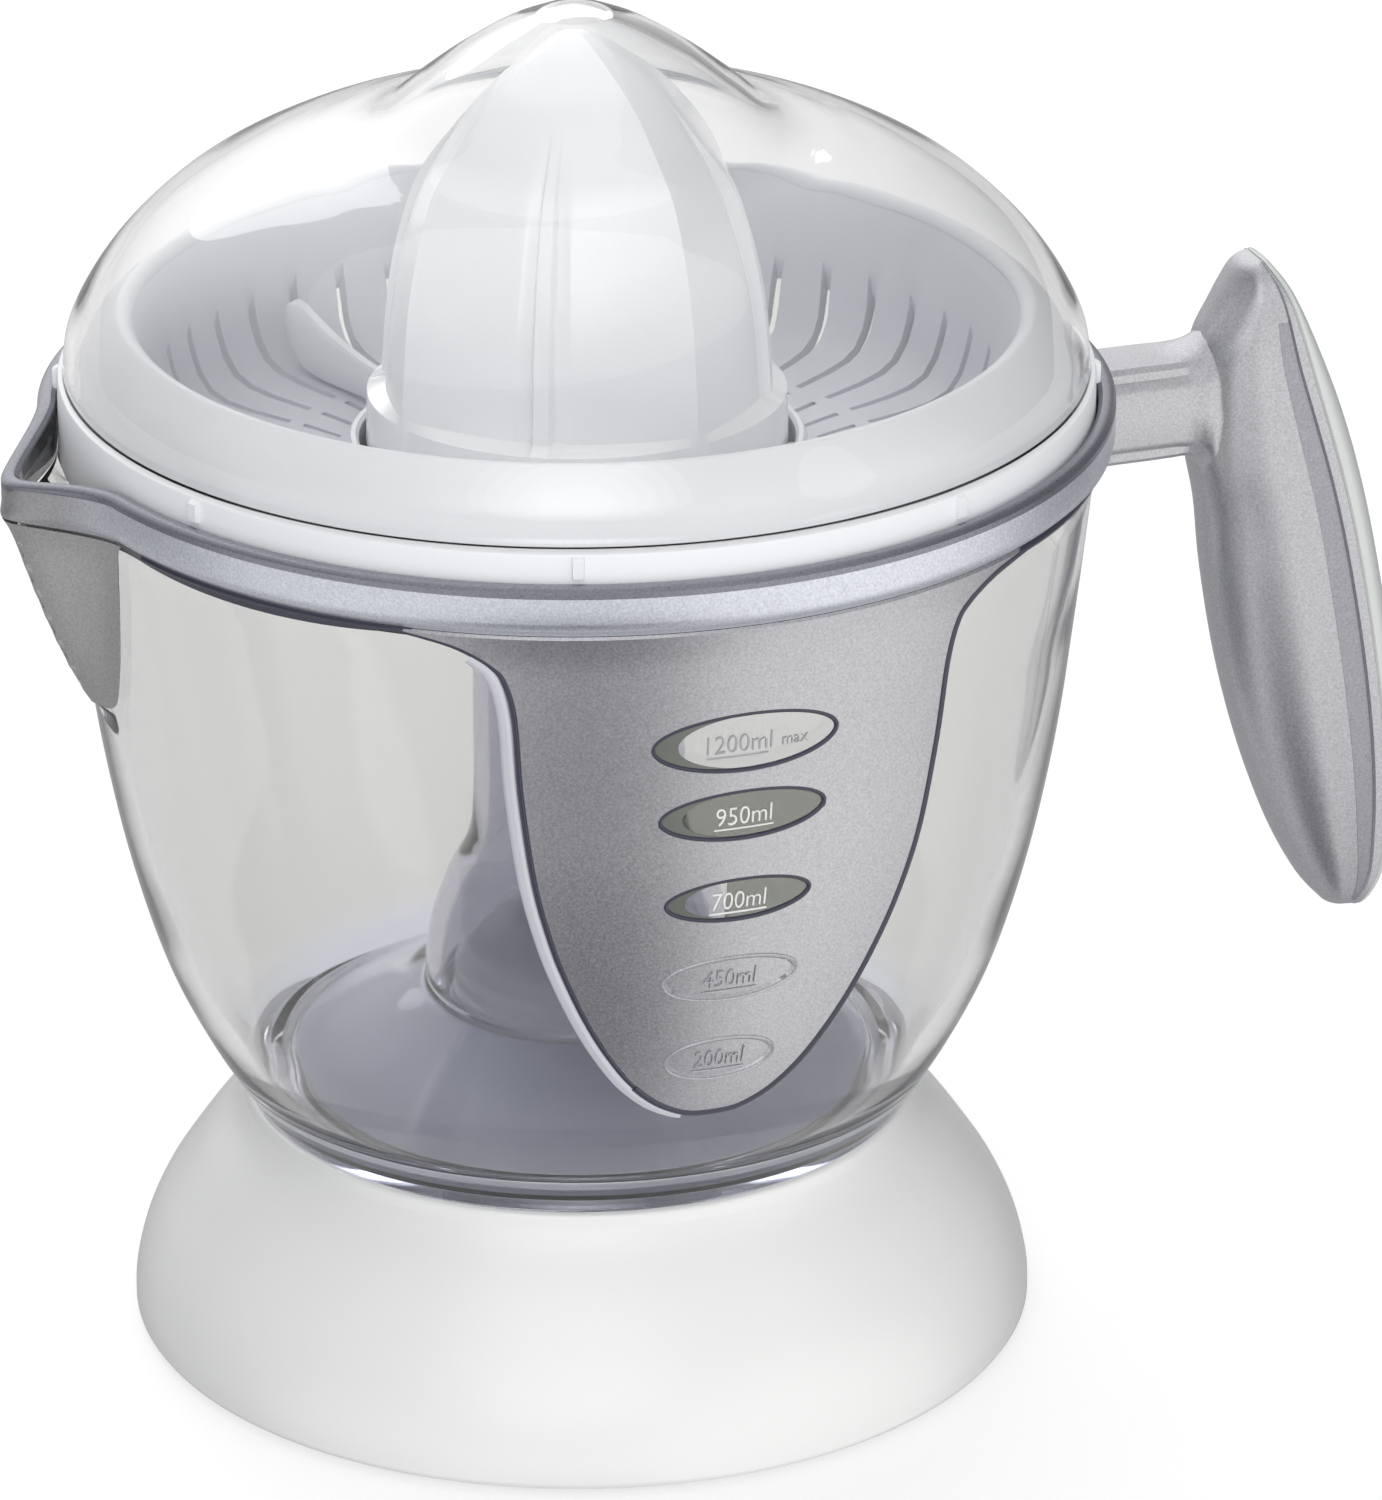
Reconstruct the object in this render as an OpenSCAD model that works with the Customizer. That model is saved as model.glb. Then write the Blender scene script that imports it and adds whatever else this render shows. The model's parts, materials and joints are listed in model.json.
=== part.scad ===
// Citrus press juicer: a motor base, a jug with spout and handle, a strainer, a pulp
// scraper, two reaming cones and a clear lid. Millimetres, Z up. The origin is on the
// drive axis, in the plane the juicer stands on. The handle points to +X, the spout to
// -X and the level windows to -Y.

/* [Base] */
// Radius of the base at its foot
base_r = 73; // [72.5:0.5:74]
// Radius of the ledge that carries the jug
ledge_r = 54.5; // [54:0.5:55]
// Height of the ledge that carries the jug
ledge_z = 40; // [39.5:0.5:40]
// Wall thickness of the white mouldings
wall = 2.5; // [2.2:0.1:2.8]
// Height of the shaft tower's top
tower_top = 104; // [100:1:106]

/* [Jug] */
// Outer radius of the jug's rim bead
rim_r = 84.5; // [84.3:0.1:84.8]
// Height of the jug's rim
rim_z = 157.8; // [157.5:0.1:158]
// Wall thickness of the jug
jug_wall = 2.5; // [2.2:0.1:2.6]
// Radius of the jug's centre tube
tube_r = 16.9; // [16.5:0.1:17]
// Reach of the spout's tip from the axis
spout_reach = 94; // [92:1:96]

/* [Strainer and lid] */
// Number of juice slots
slot_count = 44; // [36:4:48]
// Width of a juice slot
slot_w = 1.3; // [1:0.1:1.6]
// Height of the lid's tip
lid_top = 221; // [220:0.5:222]
// Wall thickness of the lid
lid_wall = 1.8; // [1.6:0.1:2]

/* [Cones] */
// Radius of the large cone's ribs at its foot
cone_r = 33.2; // [32.5:0.1:33.4]
// Height of the large cone's tip
cone_top = 215.8; // [215:0.1:216]
// Number of ribs on each cone
rib_count = 8; // [6:1:10]

/* [Drive] */
// Radius of the drive shaft
shaft_r = 4; // [3.9:0.05:4]
// Travel of the cone when the fruit is pressed down
press_travel = 2.5; // [2:0.1:2.5]
// Radial clearance of the running fits
run = 0.05; // [0.03:0.01:0.08]

/* [Hidden] */
$fn = 96;
eps = 0.1;
gap = 0.3;

// Foot and bottom cover
foot_z = 1.5;
cover_top = 4;
cover_r = base_r - wall - gap;
ring_in = 64;
ring_out = 68.4;
ring_seat = 0.8;
screw_circle = 60;
screw_turn = 28;
screw_r = 1.45;

// Cord gland, at the back
gland_z = 11;
gland_r = 4.9;
gland_in = 63.4;
gland_len = 9;
cord_r = 3.2;

// Deck, boss and tower of the base
deck_z = 38.2;
deck_under = deck_z - wall;
boss_r = 20.5;
boss_top = 57;
bush_r = 6.5;
bush_len = 8;
shaft_bore = 5.2;

// Gears: module, teeth and heights of the three stages
pressure = 25;
backlash = 0.12;
m_first = 0.7;
m_second = 0.8;
m_output = 1;
pinion_teeth = 12;
first_teeth = 33;
second_teeth = 36;
output_teeth = 48;
first_z = 4.6;
first_t = 2.6;
second_z = 24.4;
second_t = 3.2;
output_z = 28.6;
output_t = 5.6;
axle_r = 1.5;
axle_bore = axle_r + run;

// Gear centres: the motor sits behind the axis, the train runs round to the output gear
rotor_xy = [-12, 35];
first_xy = rotor_xy + [-m_first * (pinion_teeth + first_teeth) / 2, 0];
first_reach = norm(first_xy);
second_reach = m_output * (pinion_teeth + output_teeth) / 2;
mesh_second = m_second * (pinion_teeth + second_teeth) / 2;
turn_cos = (pow(second_reach, 2) + pow(first_reach, 2) - pow(mesh_second, 2))
    / (2 * second_reach * first_reach);
second_angle = atan2(first_xy[1], first_xy[0]) + acos(turn_cos);
second_xy = second_reach * [cos(second_angle), sin(second_angle)];

// Motor core: two legs and a yoke around the rotor
core_z = 9;
core_t = 13;
core_left = -23;
core_right = 34;
core_low = 20;
core_high = 50;
leg_w = 8;
slot_end = 26;
magnet_r = 9.5;
pole_gap = 0.9;
coil_from = 6;
coil_to = 24;
coil_side = 4;
plate_z = core_z + core_t + 0.2;
plate_t = 1.2;
yoke_x = 30;
yoke_low = 24;
yoke_high = 46;
rivet_x = -20.5;
rivet_low = 22.6;
rivet_high = 47.4;
plate_foot = [0, -30];

// Drive shaft, spring and switch
shaft_low = 19.4;
shaft_hex_r = 4.62;
hex_top = 40;
tip_low = 150;
tip_top = 170;
hub_r = 9;
hub_top = 35;
journal_r = 6;
clip_z = 47.8;
clip_t = 1;
clip_r = 7.5;
spring_r = 6.4;
spring_wire = 0.55;
switch_w = 16;
switch_d = 12;
switch_top = 15.6;
plunger_r = 2;

// Jug heights and radii
jug_foot_z = ledge_z + gap + 0.1;
floor_z = 44.2;
floor_top = 56;
floor_under = 55.6;
bell_r = 25;
tube_top = 136;
rim_low = 149.5;
seat_r = rim_r - 2.9;
arm_z = 143;
arm_w = 15;
arm_h = 17;

// Strainer, scraper and lid
basket_floor = 142;
collar_r = 20;
collar_top = 150;
collar_hole = 9;
ring_inner_r = 70;
ring_inner_z = 172.4;
ring_outer_r = 77.5;
lid_seat_z = 162.3;
skirt_r = seat_r - gap;
lid_r = 80.5;
scraper_z = 144;
scraper_r = 36.2;
wing_turn = 120;

// Cones
cone_low = 149;
small_low = 153;
small_r = 23;
small_top = 196;
rib_w = 2.2;
rib_turn = 14.5;

// Points along an arc about [cx, cy], from angle a0 to a1
function arc(cx, cy, r, a0, a1, n = 8) =
    [for (i = [0:n]) [cx + r * cos(a0 + (a1 - a0) * i / n), cy + r * sin(a0 + (a1 - a0) * i / n)]];

// One point of a smooth curve between b and c
function blend_point(a, b, c, d, t) =
    0.5 * (2 * b + (c - a) * t + (2 * a - 5 * b + 4 * c - d) * pow(t, 2)
    + (3 * b - a - 3 * c + d) * pow(t, 3));

// A smooth curve through the points p, with n steps between each two
function curve(p, n = 4) = [
    for (i = [0:len(p) - 2]) for (k = [0:n - 1])
        blend_point(p[max(i - 1, 0)], p[i], p[i + 1], p[min(i + 2, len(p) - 1)], k / n),
    p[len(p) - 1]
];

// The points p in the opposite order
function reversed(p) = [for (i = [len(p) - 1:-1:0]) p[i]];

// The points p moved by v
function moved(p, v) = [for (q = p) q + v];

// Involute function of an angle, in degrees
function involute(a) = tan(a) * 180 / PI - a;

// Half the angle that a tooth covers at radius r, for a gear of module m with z teeth
function tooth_half(m, z, r) =
    let (pitch = m * z / 2, base = pitch * cos(pressure))
    90 / z - backlash / 2 / pitch * 180 / PI + involute(pressure)
    - involute(acos(min(1, base / max(r, base))));

// Outline of a gear with a tooth centred on the angle turn
function gear_outline(m, z, turn) =
    let (pitch = m * z / 2, base = pitch * cos(pressure), root = pitch - 1.2 * m,
        tip = pitch + 0.95 * m, radii = [root, max(base, root + 0.1 * m), pitch, tip])
    [for (i = [0:z - 1]) each concat(
        [for (r = radii) r * [cos(turn + i * 360 / z - tooth_half(m, z, r)),
            sin(turn + i * 360 / z - tooth_half(m, z, r))]],
        [for (r = reversed(radii)) r * [cos(turn + i * 360 / z + tooth_half(m, z, r)),
            sin(turn + i * 360 / z + tooth_half(m, z, r))]])];

// Direction from point p to point q
function bearing(p, q) = atan2(q[1] - p[1], q[0] - p[0]);

module gear(m, z, turn, t) {
    linear_extrude(t) polygon(gear_outline(m, z, turn));
}

module at(p, z = 0) {
    translate([p[0], p[1], z]) children();
}

// A flat bar with round ends from p to q
module bar(p, q, w) {
    at(p) circle(d = w);
    at(q) circle(d = w);
    at(p) rotate(bearing(p, q)) translate([0, -w / 2]) square([norm(q - p), w]);
}

// A round rod from point p to point q at one height, a little longer at both ends
module flat_rod(p, q, r, more) {
    translate(p)
    rotate([0, 90, bearing(p, q)])
    translate([0, 0, -more])
    cylinder(r = r, h = norm(q - p) + 2 * more, $fn = 24);
}

module ring(inner, outer, t) {
    difference() {
        cylinder(r = outer, h = t);
        translate([0, 0, -eps]) cylinder(r = inner, h = t + 2 * eps);
    }
}

// A pan-head screw with its head below
module screw(head_r, head_t, length) {
    difference() {
        cylinder(r = head_r, h = head_t, $fn = 32);
        translate([-head_r * 0.6, -0.35, -eps]) cube([head_r * 1.2, 0.7, 0.7]);
        translate([-0.35, -head_r * 0.6, -eps]) cube([0.7, head_r * 1.2, 0.7]);
    }
    translate([0, 0, head_t]) cylinder(r = screw_r, h = length, $fn = 32);
}

module cover_screw_places() {
    for (i = [0:3]) rotate(screw_turn + 90 * i) translate([screw_circle, 0, 0]) children();
}

// ---- Base ----

housing_outer = concat(
    [[base_r - 0.4, foot_z]],
    curve([[base_r, foot_z + 0.6], [base_r - 0.2, 6], [base_r - 1.7, 12], [base_r - 4.4, 18],
        [base_r - 8, 23.6], [base_r - 12, 29.2], [base_r - 16.4, 34.6], [ledge_r, 38]]),
    [[ledge_r, ledge_z - 0.5], [ledge_r - 0.5, ledge_z], [49, ledge_z], [49, deck_z], [boss_r, deck_z]],
    curve([[boss_r, 58], [boss_r - 1.2, 62], [boss_r - 5.5, 66.4], [10.6, 69.6], [9.2, 74]]),
    [[8.6, tower_top], [0, tower_top]]);
housing_inner = concat(
    [[0, boss_top], [boss_r - wall, boss_top], [boss_r - wall, deck_under], [50.5, deck_under]],
    curve([[50.5, deck_under], [base_r - 18.6, 33], [base_r - 14.3, 28], [base_r - 10.4, 22.4],
        [base_r - 7, 17], [base_r - 4.3, 11.4], [base_r - 2.8, 6], [base_r - wall - 0.1, foot_z]]));

module housing_posts() {
    cover_screw_places() translate([0, 0, cover_top + eps]) cylinder(r = 4, h = 30, $fn = 48);
    for (y = [yoke_low, yoke_high]) at([yoke_x, y], plate_z + plate_t) cylinder(r = 3.5, h = 13, $fn = 48);
    at(plate_foot, plate_z + plate_t) cylinder(r = 3.5, h = 13, $fn = 48);
    at(first_xy, 28.2) cylinder(r = 3.5, h = 8, $fn = 48);
}

module base_housing() {
    color("white")
    difference() {
        union() {
            rotate_extrude() polygon(concat(housing_outer, housing_inner));
            intersection() {
                housing_posts();
                rotate_extrude() polygon(concat(housing_outer, [[0, foot_z]]));
            }
        }
        translate([0, 0, boss_top - 1]) cylinder(r = shaft_bore, h = 60);
        translate([0, 0, boss_top - 1]) cylinder(r = bush_r, h = bush_len + 1);
        translate([0, 0, tower_top - bush_len]) cylinder(r = bush_r, h = bush_len + 1);
        cover_screw_places() cylinder(r = screw_r, h = 14, $fn = 32);
        for (y = [yoke_low, yoke_high]) at([yoke_x, y], 20) cylinder(r = screw_r, h = 12, $fn = 32);
        at(plate_foot, 20) cylinder(r = screw_r, h = 12, $fn = 32);
        at(first_xy, 20) cylinder(r = axle_r, h = 14, $fn = 32);
        at(second_xy, 20) cylinder(r = axle_r, h = 17.2, $fn = 32);
        translate([0, 60, gland_z]) rotate([-90, 0, 0]) cylinder(r = gland_r, h = 20, $fn = 48);
    }
}

module bottom_cover() {
    color("whitesmoke")
    difference() {
        translate([0, 0, foot_z]) cylinder(r = cover_r, h = cover_top - foot_z);
        translate([0, 0, foot_z - eps]) ring(ring_in, ring_out, ring_seat + eps);
        cover_screw_places() cylinder(r = screw_r + 0.2, h = 6, $fn = 32);
        cover_screw_places() cylinder(r = 3.2, h = foot_z + 1.3, $fn = 32);
        at(first_xy, 2.6) cylinder(r = axle_r, h = 3, $fn = 32);
        for (i = [0:9]) rotate(36 * i + 18) translate([24, -1, 0]) cube([10, 2, 6]);
    }
    color("whitesmoke")
    for (s = [-1, 1]) {
        translate([s * (switch_w / 2 + 0.9) - 0.75, -3, cover_top]) cube([1.5, 6, 4]);
        translate([s * 10.4 - 0.75, -50, cover_top]) cube([1.5, 8, 4]);
    }
}

module rest_ring() {
    color("dimgray") ring(ring_in, ring_out, foot_z + ring_seat - 0.05);
}

module cover_screws() {
    color("silver") cover_screw_places() translate([0, 0, 1.6]) screw(3, 1.2, 9.8);
}

module cord_gland() {
    color("dimgray")
    translate([0, 0, gland_z]) rotate([-90, 0, 0])
    difference() {
        union() {
            translate([0, 0, gland_in]) cylinder(r = gland_r, h = gland_len, $fn = 48);
            translate([0, 0, gland_in]) cylinder(r = 6, h = 2, $fn = 48);
        }
        translate([0, 0, 60]) cylinder(r = cord_r, h = 20, $fn = 48);
    }
}

// ---- Motor ----

module motor_core() {
    color("gray")
    translate([0, 0, core_z])
    linear_extrude(core_t)
    difference() {
        translate([core_left, core_low]) square([core_right - core_left, core_high - core_low]);
        translate([core_left - 1, core_low + leg_w])
            square([slot_end - core_left + 1, core_high - core_low - 2 * leg_w]);
        at(rotor_xy) circle(r = magnet_r + pole_gap);
        for (y = [yoke_low, yoke_high]) at([yoke_x, y]) circle(r = screw_r + 0.2, $fn = 32);
        for (y = [rivet_low, rivet_high]) at([rivet_x, y]) circle(r = 1.2, $fn = 32);
    }
}

// Box around one leg of the core, grown by side on all four sides
module leg_box(y, side, from, to) {
    translate([from, y - side, core_z - side]) cube([to - from, leg_w + 2 * side, core_t + 2 * side]);
}

module coil_bobbins() {
    color("ivory")
    for (y = [core_low, core_high - leg_w]) difference() {
        union() {
            leg_box(y, 1, coil_from, coil_to);
            leg_box(y, coil_side, coil_from, coil_from + 1.2);
            leg_box(y, coil_side, coil_to - 1.2, coil_to);
        }
        leg_box(y, 0.1, coil_from - 1, coil_to + 1);
    }
}

module motor_coils() {
    color("peru")
    for (y = [core_low, core_high - leg_w]) difference() {
        leg_box(y, coil_side - 0.6, coil_from + 1.3, coil_to - 1.3);
        leg_box(y, 1.1, coil_from, coil_to);
    }
}

module core_rivets() {
    color("silver")
    for (y = [rivet_low, rivet_high]) at([rivet_x, y], 7.3) {
        cylinder(r = 2, h = 0.5, $fn = 32);
        cylinder(r = 1.15, h = 16.4, $fn = 32);
        translate([0, 0, 16.1]) cylinder(r = 2, h = 0.5, $fn = 32);
    }
}

module lower_bracket() {
    color("lightsteelblue")
    translate([0, 0, core_z - 1.2])
    linear_extrude(1)
    difference() {
        union() {
            bar([rivet_x, rivet_low], [rivet_x + 3, rivet_high - 12.4], 5);
            bar([rivet_x, rivet_high], [rivet_x + 3, rivet_low + 12.4], 5);
            bar([rivet_x + 2, rotor_xy[1]], rotor_xy, 8);
        }
        at(rotor_xy) circle(r = axle_bore, $fn = 32);
        for (y = [rivet_low, rivet_high]) at([rivet_x, y]) circle(r = 1.2, $fn = 32);
    }
}

module gear_plate() {
    color("lightsteelblue")
    translate([0, 0, plate_z])
    linear_extrude(plate_t)
    difference() {
        union() {
            circle(r = 10);
            bar([0, 0], plate_foot, 9);
            bar([0, 0], second_xy, 9);
            bar(second_xy, [rivet_x, rivet_low], 7);
            bar([rivet_x, rivet_low], [rivet_x, rivet_high], 6);
            bar([rivet_x, rotor_xy[1]], [yoke_x, rotor_xy[1]], 5);
            at(rotor_xy) circle(r = 6);
            bar([yoke_x, yoke_low], [yoke_x, yoke_high], 7);
        }
        circle(r = journal_r + run);
        at(rotor_xy) circle(r = axle_bore, $fn = 32);
        at(second_xy) circle(r = axle_r, $fn = 32);
        at(plate_foot) circle(r = screw_r + 0.2, $fn = 32);
        for (y = [yoke_low, yoke_high]) at([yoke_x, y]) circle(r = screw_r + 0.2, $fn = 32);
        for (y = [rivet_low, rivet_high]) at([rivet_x, y]) circle(r = 1.2, $fn = 32);
    }
}

module motor_screws() {
    color("silver") for (y = [yoke_low, yoke_high]) at([yoke_x, y], core_z - 1.7) screw(3, 1.6, 22);
}

module plate_screw() {
    color("silver") at(plate_foot, plate_z - 1.7) screw(3, 1.6, 9);
}

module first_axle() {
    color("lightgray") at(first_xy, 2.6) cylinder(r = axle_r, h = 31, $fn = 32);
}

module second_axle() {
    color("lightgray") at(second_xy, plate_z) cylinder(r = axle_r, h = 37 - plate_z, $fn = 32);
}

module bush() {
    ring(shaft_r + run, bush_r, bush_len - 2);
}

module lower_bush() {
    color("goldenrod") translate([0, 0, boss_top + 2]) bush();
}

module upper_bush() {
    color("goldenrod") translate([0, 0, tower_top - bush_len]) bush();
}

module shaft_seal() {
    color("dimgray") translate([0, 0, tower_top - 1.9]) ring(shaft_r + run, bush_r, 1.8);
}

module switch_body() {
    color("black")
    difference() {
        translate([-switch_w / 2, -switch_d / 2, cover_top])
            cube([switch_w, switch_d, switch_top - cover_top]);
        translate([0, 0, 10]) cylinder(r = plunger_r + run, h = 10, $fn = 48);
    }
}

module switch_plunger() {
    color("red") translate([0, 0, 13]) cylinder(r = plunger_r, h = shaft_low - 0.2 - 13, $fn = 48);
}

module terminal_block() {
    color("ivory")
    difference() {
        translate([-9.5, -51, cover_top]) cube([19, 10, 9]);
        for (x = [-5, 5]) translate([x, -46, 6]) cylinder(r = 1.8, h = 10, $fn = 32);
        for (x = [-5, 5]) translate([x, -52, 8]) rotate([-90, 0, 0]) cylinder(r = 1.4, h = 14, $fn = 32);
    }
}

// Lead wires: from the terminal block to the switch and to the two windings
wire_r = 0.9;
lead_routes = [
    [[-5, -40.7, 8], [-5, -6.3, 8]],
    [[5, -40.7, 8], [36, -24, 8], [36, 12, 8], [25.4, 18, 8]],
    [[6, 7.4, 8], [14, 14.8, 8]]
];

module lead_wires() {
    color("blue")
    for (route = lead_routes) for (i = [0:len(route) - 2])
        flat_rod(route[i], route[i + 1], wire_r, i == 0 || i == len(route) - 2 ? 0 : wire_r / 2);
}

// ---- Gear train ----

module rotor_magnet() {
    color("darkslategray") at(rotor_xy, core_z + 0.5) ring(axle_r, magnet_r, core_t - 1);
}

module rotor_shaft() {
    color("lightgray") at(rotor_xy, 4.3) cylinder(r = axle_r, h = plate_z + plate_t + 0.5 - 4.3, $fn = 32);
}

module rotor_pinion() {
    color("wheat")
    at(rotor_xy, 4.5)
    difference() {
        gear(m_first, pinion_teeth, bearing(rotor_xy, first_xy) + 180 / pinion_teeth, 2.9);
        translate([0, 0, -eps]) cylinder(r = axle_r, h = 4, $fn = 32);
    }
}

module first_gear() {
    color("wheat")
    at(first_xy)
    difference() {
        union() {
            translate([0, 0, first_z]) gear(m_first, first_teeth, bearing(first_xy, rotor_xy), first_t);
            translate([0, 0, first_z]) cylinder(r = 3.4, h = second_z - first_z);
            translate([0, 0, second_z])
                gear(m_second, pinion_teeth, bearing(first_xy, second_xy) + 180 / pinion_teeth, second_t);
        }
        cylinder(r = axle_bore, h = 40, $fn = 48);
    }
}

module second_gear() {
    color("wheat")
    at(second_xy)
    difference() {
        union() {
            translate([0, 0, second_z - 0.7]) cylinder(r = 4, h = 1);
            translate([0, 0, second_z]) gear(m_second, second_teeth, bearing(second_xy, first_xy), second_t);
            translate([0, 0, second_z + second_t])
                gear(m_output, pinion_teeth, bearing(second_xy, [0, 0]) + 180 / pinion_teeth, 6.7);
        }
        cylinder(r = axle_bore, h = 40, $fn = 48);
    }
}

module output_gear() {
    color("wheat")
    difference() {
        union() {
            translate([0, 0, output_z])
            difference() {
                gear(m_output, output_teeth, second_angle, output_t);
                translate([0, 0, 2]) ring(hub_r, 19, output_t);
            }
            translate([0, 0, output_z]) cylinder(r = hub_r, h = hub_top - output_z);
            translate([0, 0, plate_z - 0.3]) cylinder(r = journal_r, h = output_z - plate_z + 0.5);
        }
        translate([0, 0, 10]) cylinder(r = shaft_hex_r + run * 1.3, h = 40, $fn = 6);
    }
}

// Return spring: one helix of round wire, as a closed skin over rings of points
spring_turns = 5;
spring_rings = 60;
spring_sides = 6;
spring_low = hub_top + spring_wire + 0.05;
spring_high = clip_z - spring_wire - 0.05;

function spring_ring(i) =
    let (a = 360 * spring_turns * i / spring_rings,
        z = spring_low + (spring_high - spring_low) * i / spring_rings)
    [for (k = [0:spring_sides - 1])
        let (b = 360 * k / spring_sides, r = spring_r + spring_wire * cos(b))
        [r * cos(a), r * sin(a), z + spring_wire * sin(b)]];

module return_spring() {
    points = [for (i = [0:spring_rings]) each spring_ring(i)];
    sides = [for (i = [0:spring_rings - 1]) for (k = [0:spring_sides - 1])
        let (p = i * spring_sides + k, q = i * spring_sides + (k + 1) % spring_sides)
        [p, p + spring_sides, q + spring_sides, q]];
    start = [for (k = [0:spring_sides - 1]) k];
    finish = [for (k = [spring_sides - 1:-1:0]) spring_rings * spring_sides + k];
    color("silver") polyhedron(points, concat(sides, [start, finish]), convexity = 8);
}

module drive_shaft() {
    color("silver") {
        translate([0, 0, shaft_low]) cylinder(r = shaft_hex_r, h = hex_top - shaft_low, $fn = 6);
        translate([0, 0, hex_top - eps]) cylinder(r = shaft_r, h = tip_low - hex_top + 2 * eps);
        translate([0, 0, tip_low]) cylinder(r = shaft_r, h = tip_top - tip_low, $fn = 6);
    }
}

module spring_clip() {
    color("silver") translate([0, 0, clip_z]) ring(shaft_r, clip_r, clip_t);
}

module retaining_ring() {
    color("silver") translate([0, 0, 20.6]) ring(shaft_hex_r, 6.2, 1);
}

// ---- Jug ----

jug_outer = curve([[53.8, jug_foot_z], [57.6, 46.4], [61.6, 53.4], [66, 62.6], [69.4, 72.4],
    [72.4, 83.6], [74.8, 95], [76.8, 107], [78.4, 120], [79.8, 132], [81.2, 145]]);
jug_inner = moved(curve([[52, floor_z], [56.3, 47.6], [60.8, 54.6], [65.4, 64], [68.8, 73.6],
    [71.9, 84.6], [74.4, 96], [76.5, 108], [78.2, 121], [79.7, 133], [81.2, rim_low]]), [-jug_wall, 0]);
bell_outer = curve([[bell_r, floor_top + 1.6], [bell_r, 62], [23.8, 68], [21.2, 75], [18.6, 80],
    [17.3, 85], [tube_r, 94]]);
bell_inner = moved(curve([[bell_r, floor_under], [bell_r, 59], [23.8, 66], [21.2, 73], [18.6, 78.4],
    [17.3, 84], [tube_r, 94]]), [-2.4, 0]);
tube_draft = 0.3;

jug_profile = concat(
    jug_outer,
    [[81.6, 148.4], [rim_r - 0.6, rim_low], [rim_r, rim_low + 1], [rim_r, rim_z - 1.2]],
    [[rim_r - 1, rim_z], [seat_r + 0.6, rim_z], [seat_r, rim_z - 0.6], [seat_r, rim_low]],
    reversed(jug_inner),
    [[bell_r + 2, floor_top]],
    bell_outer,
    [[tube_r - tube_draft, tube_top - 0.8], [tube_r - tube_draft - 0.8, tube_top],
        [tube_r - tube_draft - 1.8, tube_top], [tube_r - 2.4 - tube_draft, tube_top - 0.6]],
    reversed(bell_inner),
    [[46.4, 42.9], [46.4, 38.7], [48.6, 38.7], [48.6, 41.8], [50, 41.8]],
    [[50, jug_foot_z]]);

// Spout: a narrow vee from the wall up to a rounded tip, grown outwards by t
module spout_body(t) {
    hull() {
        translate([3 - spout_reach, 0, 151]) cylinder(r = 0.6 + t, h = 5, $fn = 32);
        translate([-78.4, 0, 120]) sphere(r = t + 0.4, $fn = 24);
        translate([-80, -21 - t, 153]) cube([3, 42 + 2 * t, rim_z - 153]);
        translate([-79, -7 - t, 128]) cube([3, 14 + 2 * t, 4]);
    }
}

// Side outlines of the grip, from the arm down to its lower tip
grip_inside = curve([[105.2, 153], [104.2, 147], [104, 139], [104.4, 132.4], [106.2, 124], [107.6, 112],
    [110.6, 95.6], [114.8, 80.4], [120.2, 66.1], [125.6, 56], [130, 50.8]]);
grip_seam = curve([[114.6, 166.4], [117.6, 160.4], [121.6, 146], [126.8, 127], [131, 107], [134.2, 88],
    [136.2, 70], [136.4, 58], [134.6, 51]]);
grip_outside = curve([[116.2, 166.2], [119.4, 161.6], [123.6, 153], [128.4, 141], [132.4, 127.4],
    [136, 110.7], [138.6, 95], [140, 79], [139.8, 66], [138, 55.8], [135, 50.4]]);
grip_flare = curve([[105.2, 153], [107.6, 157.4], [110, 161.6], [112.2, 165], [114.6, 166.4]]);
// Front outline of the grip: half its width at each height
grip_width = curve([[3, 49.6], [6.6, 53], [9.6, 62], [12, 78], [13.2, 98], [13.4, 118], [12.4, 138],
    [10.4, 154], [8, 162.6], [3.4, 166.8]]);
grip_depth = 27;

module grip_front() {
    translate([90, 0, 0])
    rotate([90, 0, 90])
    linear_extrude(60)
    polygon(concat(grip_width, [for (p = reversed(grip_width)) [-p[0], p[1]]]));
}

module side_slab(outline, half) {
    translate([0, half, 0]) rotate([90, 0, 0]) linear_extrude(2 * half) polygon(outline);
}

module jug() {
    color([0.78, 0.79, 0.83])
    difference() {
        union() {
            rotate_extrude() polygon(jug_profile);
            difference() {
                union() {
                    spout_body(2);
                    translate([79.4, -arm_w / 2, arm_z - arm_h / 2]) cube([27, arm_w, arm_h]);
                }
                cylinder(r = 79.5, h = 200);
                translate([0, 0, rim_low]) cylinder(r = seat_r + 0.8, h = 20);
            }
            intersection() {
                side_slab(concat(grip_flare, grip_seam, reversed(grip_inside)), grip_depth / 2);
                grip_front();
            }
        }
        translate([0, 0, 2]) spout_body(0);
        side_slab(grip_hollow, 8.5);
    }
}

// Hollow of the grip, open towards the cover
grip_hollow = concat(
    curve([[112.2, 155], [110.4, 146], [110, 130], [113, 107], [118, 87], [125, 70]]),
    curve([[133.6, 70], [131.6, 88], [128.4, 107], [124.2, 127], [119, 146], [115.6, 156]]));

module handle_cover() {
    color("gainsboro")
    intersection() {
        side_slab(concat(moved(grip_seam, [0.15, 0]), reversed(grip_outside)), grip_depth / 2);
        grip_front();
    }
}

// ---- Strainer, scraper, cones and lid ----

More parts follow.
